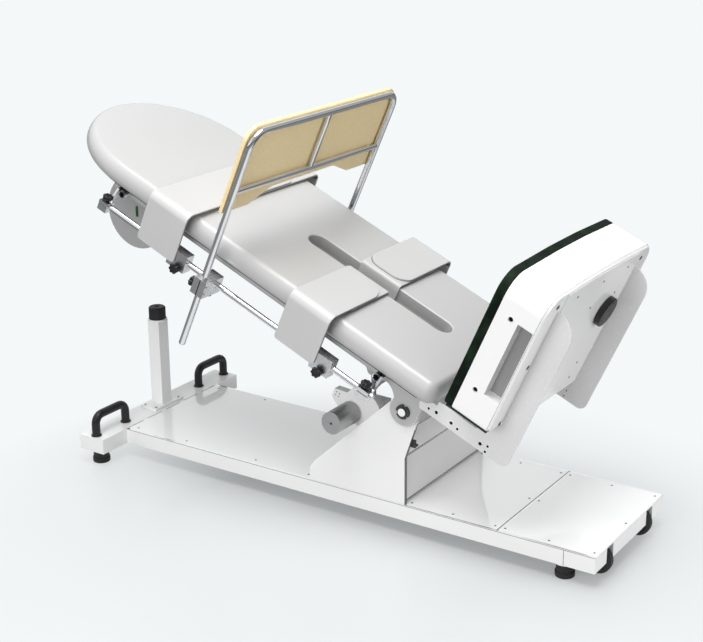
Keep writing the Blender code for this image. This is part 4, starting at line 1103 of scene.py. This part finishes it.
def footboard_fasteners():
    """Dark plugs of painted hole shadow in the side holes, the rim's screws and the rear panel's
    screws.
    """
    plug_y, plug_radius = footboard_half - 0.0115, 0.0077
    rim_screw_y = 0.284
    profile = ((0, plug_radius), (0.005, plug_radius))
    dark = []
    rings = []
    heads = []
    for side, _ in sides:
        for u, n in ((0.2053, 0.517), (0.2013, 0.267)):
            dark.append(turned((u, side * plug_y, n), (0, side, 0), profile, 24))
            rings.append(ring((u, side * footboard_half, n), (0, 1, 0), 0.0084, 0.0006))
        for n in (0.1767, 0.3826, 0.592):
            heads.append(button_head((shell_back_u, side * rim_screw_y, n), footward, 0.0080, 0.0018))
    spots = (
        (-0.165, 0.592), (0.009, 0.592), (0.181, 0.592), (0.007, 0.498), (0.178, 0.4995),
        (-0.165, 0.498), (0.167, 0.235), (0.165, 0.178), (-0.165, 0.235), (-0.165, 0.178),
    )
    for y, n in spots:
        heads.append(button_head((back_panel_u, y, n), footward, 0.0040, 0.0012))
    piece("footboard_holes", dark, hole_black)
    piece("footboard_hole_rims", rings, white)
    piece("back_panel_screws", heads, shadow_line_grey)


def rear_cap_holes():
    """Three dimples in the round rear cap."""
    radius = 0.0036
    circle_radius = 0.037
    profile = ((-0.001, radius), (0.0002, radius))
    spots = arc((rear_cap_y, rear_cap_n), circle_radius, 90, 330, 2)
    holes = [turned((rear_cap_face_u, y, n), footward, profile, 20) for y, n in spots]
    piece("rear_cap_holes", holes, hole_black)


def foot_pad_ribs():
    """Raised grip ribs across the foot pad's front face."""
    shapes = []
    count = 30
    margin = 0.022
    end_margin = 0.030
    pitch = (footboard_high - footboard_low - 2 * end_margin) / (count - 1)
    shoulder = footboard_high - footboard_arch - footboard_corner
    for k in range(count):
        n = footboard_low + end_margin + pitch * k
        half = footboard_half - margin
        if n > shoulder:
            rise = (n - shoulder) / footboard_corner
            half -= footboard_corner * (1 - math.sqrt(max(1 - rise**2, 0.0)))
        ends = ((-half, 0.0006), (-half + 0.003, 0.0016), (half - 0.003, 0.0016), (half, 0.0006))
        rings = [[(pad_u + a, y, n + 2.0 * b) for a, b in circle(size, 8)] for y, size in ends]
        shapes.append(skin(rings))
    piece("foot_pad_ribs", shapes, green)


def ear_gussets():
    """The filled inner corner between each ear plate's arm and post."""
    back = shell_back_u + 0.0010
    corners = ((0.225, 0.1040), (back, 0.1040), (back, 0.1660))
    faces = (ear_outer_y - 0.0037, ear_outer_y - 0.0002)
    for side, name in sides:
        rings = [[(u, side * y, n) for u, n in corners] for y in faces]
        piece("ear_gusset_" + name, [skin(rings)], ear_shaded_white, width=0.0005)


def ear_bolts():
    """Dark socket bolts of painted hole shadow with white rims in the ear plates' holes, and the bead
    round each lug.
    """
    holes = (
        (0.070, 0.065, 0.0030), (0.097, 0.069, 0.0045), (0.152, 0.069, 0.0045),
        (0.177, 0.064, 0.0030), (0.259, 0.069, 0.0045), (0.283, 0.0765, 0.0030),
        (0.283, 0.056, 0.0030),
    )
    lug_y, lug_radius, lug_bead = 0.2595, 0.0484, 0.0007
    open_above = 0.018
    dark = []
    rims = []
    for side, _ in sides:
        for u, n, radius in holes:
            spot = (u, side * (ear_outer_y - 0.0010), n)
            seen = radius + 0.0012
            profile = ((0, seen), (0.0014, seen), (0.0014, seen * 0.6), (0.0006, seen * 0.5))
            dark.append(turned(spot, (0, side, 0), profile, 20))
            rims.append(ring((u, side * ear_outer_y, n), (0, 1, 0), seen + 0.0009, 0.0011))
        lug = ring((0, side * lug_y, 0), (0, 1, 0), lug_radius, lug_bead)
        cut = [face for face in lug.faces if face.calc_center_median().z > open_above]
        bmesh.ops.delete(lug, geom=cut, context="FACES")
        bmesh.ops.holes_fill(lug, edges=[edge for edge in lug.edges if edge.is_boundary])
        rims.append(lug)
    piece("ear_bolts", dark, hole_black)
    piece("ear_bolt_rims", rims, white)


# The bed's head end and the tray


def disc_details():
    """The green pointer in each disc's slot and the small green plunger below it."""
    turn = Matrix.Rotation(-tilt, 4, "Y")
    centre = Vector((disc_u, 0, disc_n))
    hole = turn @ Vector((0.042, 0, -0.0925))
    half = 0.0140
    plan = arc((0, half), 0.0046, 0, 180, 10) + arc((0, -half), 0.0046, 180, 360, 10)
    profile = ((0, 0.0038), (0.0115, 0.0038), (0.0125, 0.0030))
    for side, name in sides:
        y = side * disc_y
        rings = []
        for depth, size in ((-0.011, 1.0), (0.0018, 1.0), (0.0030, 0.8)):
            out = Vector((0, y + side * depth, 0))
            rings.append([centre + turn @ Vector((x * size, 0, z * size)) + out for x, z in plan])
        start = centre + hole + Vector((0, y - side * 0.010, 0))
        plunger = turned(start, (0, side, 0), profile, 20)
        piece("disc_pointer_" + name, [skin(rings), plunger], signal_green)


def tube_mouths():
    """Dark mouths in the open ends of the bed's cross tubes."""
    mouth_y, mouth_n, radius = 0.2665, 0.069, 0.0099
    profile = ((0, radius), (0.002, radius))
    for tube_u, end in ((head_tube_u, "head"), (foot_tube_u, "foot")):
        for side, name in sides:
            shape = turned((tube_u, side * mouth_y, mouth_n), (0, side, 0), profile, 28)
            piece(f"tube_mouth_{end}_{name}", [shape], hole_black)


def tray_leg_plugs():
    """Plugs in the lower ends of the tray's legs."""
    profile = ((-0.002, 0.0109), (0.0, 0.0109), (0.002, 0.0095))
    plugs = [turned((tray_u, side * tray_leg_y, -0.1935), down, profile, 28) for side, _ in sides]
    piece("tray_leg_plugs", plugs, steel, "tray")


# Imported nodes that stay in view, with their materials


def dress_nodes():
    dress(white, ["base_frame"], 0.0022, 3)
    dress(deck_lit_white, ["deck_panel_head", "deck_panel_foot"], 0.0006)
    dress(rubber, [*feet, "post_cap"], 0.0012)
    dress(rubber, both("wheel"), 0.0020, 3)
    dress(white, ["post"], 0.0020, 3)
    dress(plastic, both("carry_handle"), 0.0)
    dress(cover_shaded_white, ["pedestal_front_cover"])
    dress(white, both("pedestal_cheek"))
    dress(dark_steel, both("pivot_pin"), 0.0005)
    dress(white, ["gear_stand"], 0.0006)
    dress(motor_lit_grey, ["gear_motor"], 0.0010)
    dress(bed_frame_shaded_grey, both("bed_side_frame"))
    dress(aluminium, ["rail_tube_head", "rail_tube_foot"], 0.0006)
    dress(aluminium, both("rail_clamp_head", "rail_clamp_foot"))
    dress(aluminium, both("chest_clamp", "knee_clamp", "tray_clamp"), 0.0010)
    dress(chrome, both("side_rail"))
    dress(black_board_and_shade, ["bed_board"], 0.0010)
    dress(grey, ["head_discs"], 0.0010)
    dress(ear_shaded_white, both("ear_plate"), 0.0006)
    dress(green, ["footboard_pad"], 0.0010)
    dress(white, ["footboard_shell"], 0.0016, 3)
    dress(plastic, ["footboard_cap"], 0.0020, 3)
    dress(chrome, ["tray_frame"], 0.0)
    dress(board, ["tray_board"], 0.0020, 3)


# Floor, light and camera


def emptied(owner, output):
    """The owner's node tree with only an output in it, and the output's surface socket."""
    owner.use_nodes = True
    tree = owner.node_tree
    tree.nodes.clear()
    return tree, tree.nodes.new(output).inputs["Surface"]


def tinted(tree, kind, color):
    """A shader node of an even colour."""
    node = tree.nodes.new(kind)
    node.inputs[0].default_value = (*color, 1.0)
    return node


def backdrop_share(tree):
    """1 for the rays that should see the plain background."""
    path = tree.nodes.new("ShaderNodeLightPath").outputs
    seen = combined(tree, "MAXIMUM", path["Is Camera Ray"], path["Is Glossy Ray"])
    return combined(tree, "MAXIMUM", seen, path["Is Transmission Ray"])


def floor_paint():
    """Pale near the table and plain background far off, where the gloss sees it darker."""
    made = bpy.data.materials.new("studio_floor")
    tree, surface = emptied(made, "ShaderNodeOutputMaterial")
    nodes, links = tree.nodes, tree.links
    pale = tinted(tree, "ShaderNodeBsdfPrincipled", (0.575, 0.588, 0.596))
    pale.inputs["Roughness"].default_value = 0.30
    dim = tinted(tree, "ShaderNodeBsdfDiffuse", (0.26, 0.26, 0.26))
    glow = tinted(tree, "ShaderNodeEmission", background)
    reach = nodes.new("ShaderNodeVectorMath")
    reach.operation = "MULTIPLY"
    reach.inputs[1].default_value = (1.0, 1.1, 1.0)
    links.new(nodes.new("ShaderNodeTexCoord").outputs["Object"], reach.inputs[0])
    length = nodes.new("ShaderNodeVectorMath")
    length.operation = "LENGTH"
    links.new(reach.outputs[0], length.inputs[0])
    distance = length.outputs["Value"]
    glossy = nodes.new("ShaderNodeLightPath").outputs["Is Glossy Ray"]
    loss = combined(tree, "MULTIPLY", mapped(tree, distance, (1.1, 2.2), (0.0, 0.74)), glossy)
    links.new(combined(tree, "SUBTRACT", 1.0, loss), glow.inputs["Strength"])
    fade = mapped(tree, distance, (0.75, 1.60), (0.25, 1.0))
    seen = mixed(tree, fade, pale.outputs[0], glow.outputs[0])
    links.new(mixed(tree, backdrop_share(tree), dim.outputs[0], seen), surface)
    return made


def stage_floor():
    """A pale floor that keeps the table's soft shadow and runs into the background."""
    bm = bmesh.new()
    bmesh.ops.create_circle(bm, cap_ends=True, segments=96, radius=40.0)
    mesh = bpy.data.meshes.new("floor")
    bm.to_mesh(mesh)
    bm.free()
    mesh.materials.append(floor_paint())
    floor = placed("floor", mesh)
    floor.location = (0.35, -0.45, -0.0005)


def studio_world():
    """Even soft light. The camera sees the plain background, and the gloss sees it with a dark
    horizon and a dimmer foot side, which give the metal and the vinyl their contrast."""
    world = bpy.data.worlds.new("studio")
    bpy.context.scene.world = world
    tree, surface = emptied(world, "ShaderNodeOutputWorld")
    nodes, links = tree.nodes, tree.links
    ambient = tinted(tree, "ShaderNodeBackground", (1.0, 1.0, 1.0))
    ambient.inputs["Strength"].default_value = 0.62
    plain = tinted(tree, "ShaderNodeBackground", background)
    direction = nodes.new("ShaderNodeSeparateXYZ")
    links.new(nodes.new("ShaderNodeTexCoord").outputs["Generated"], direction.inputs[0])
    rise = mapped(tree, direction.outputs["Z"], (0.06, 0.17), (0.08, 1.0))
    side = mapped(tree, direction.outputs["X"], (-0.26, -0.04), (1.0, 0.45))
    level = nodes.new("ShaderNodeMix")
    level.data_type = "FLOAT"
    level.inputs[2].default_value = 1.0
    links.new(nodes.new("ShaderNodeLightPath").outputs["Is Glossy Ray"], level.inputs[0])
    links.new(combined(tree, "MULTIPLY", rise, side), level.inputs[3])
    links.new(level.outputs[0], plain.inputs["Strength"])
    links.new(mixed(tree, backdrop_share(tree), ambient.outputs[0], plain.outputs[0]), surface)


def area_lamp(name, spot, target, size, power, mirrored):
    """A soft square lamp that points at a target. Gloss sees it only when mirrored."""
    data = bpy.data.lights.new(name, "AREA")
    data.shape = "SQUARE"
    data.size = size
    data.energy = power
    lamp = placed(name, data)
    lamp.location = spot
    lamp.visible_glossy = mirrored
    lamp.rotation_mode = "QUATERNION"
    lamp.rotation_quaternion = (Vector(target) - Vector(spot)).to_track_quat("-Z", "Y")


def studio_lamps():
    area_lamp("key_lamp", (0.3, -0.8, 4.2), (0.0, 0.0, 0.5), 2.6, 140, True)
    area_lamp("front_lamp", (0.6, -4.8, 1.6), (0.2, 0.0, 0.3), 2.4, 100, False)
    area_lamp("foot_lamp", (4.6, 0.2, 1.2), (0.5, 0.0, 0.5), 2.0, 60, False)


def photo_camera():
    """The photograph's viewpoint, found from the table's own straight edges."""
    azimuth, elevation, roll = 33.6118, 18.7244, -0.5041
    data = bpy.data.cameras.new("photo_camera")
    data.lens = 75.49
    data.sensor_width = 36.0
    data.clip_end = 200.0
    camera = placed("photo_camera", data)
    matrix = Matrix.Translation((1.5077 + foot_end_x, -3.7631, 1.9944 + deck_top))
    for degrees, axis in ((azimuth, "Z"), (90 - elevation, "X"), (roll, "Z")):
        matrix = matrix @ Matrix.Rotation(math.radians(degrees), 4, axis)
    camera.matrix_world = matrix
    bpy.context.scene.camera = camera


photo_camera()
stage_floor()
studio_world()
studio_lamps()
dress_nodes()
deck_screws()
frame_seams()
deck_lines()
foot_ribs()
wheel_hubs()
handle_collars()
pivot_plugs_and_edge_shades()
cover_lines()
cover_latch()
post_bolts()
motor_sleeve()
lift_thread()
mattress()
straps()
star_knobs()
board_edge()
tray_clamp_details()
rail_clamp_bolts()
shell_trim()
footboard_fasteners()
rear_cap_holes()
foot_pad_ribs()
ear_gussets()
ear_bolts()
disc_details()
tube_mouths()
tray_leg_plugs()
bpy.context.scene.view_settings.view_transform = "Standard"
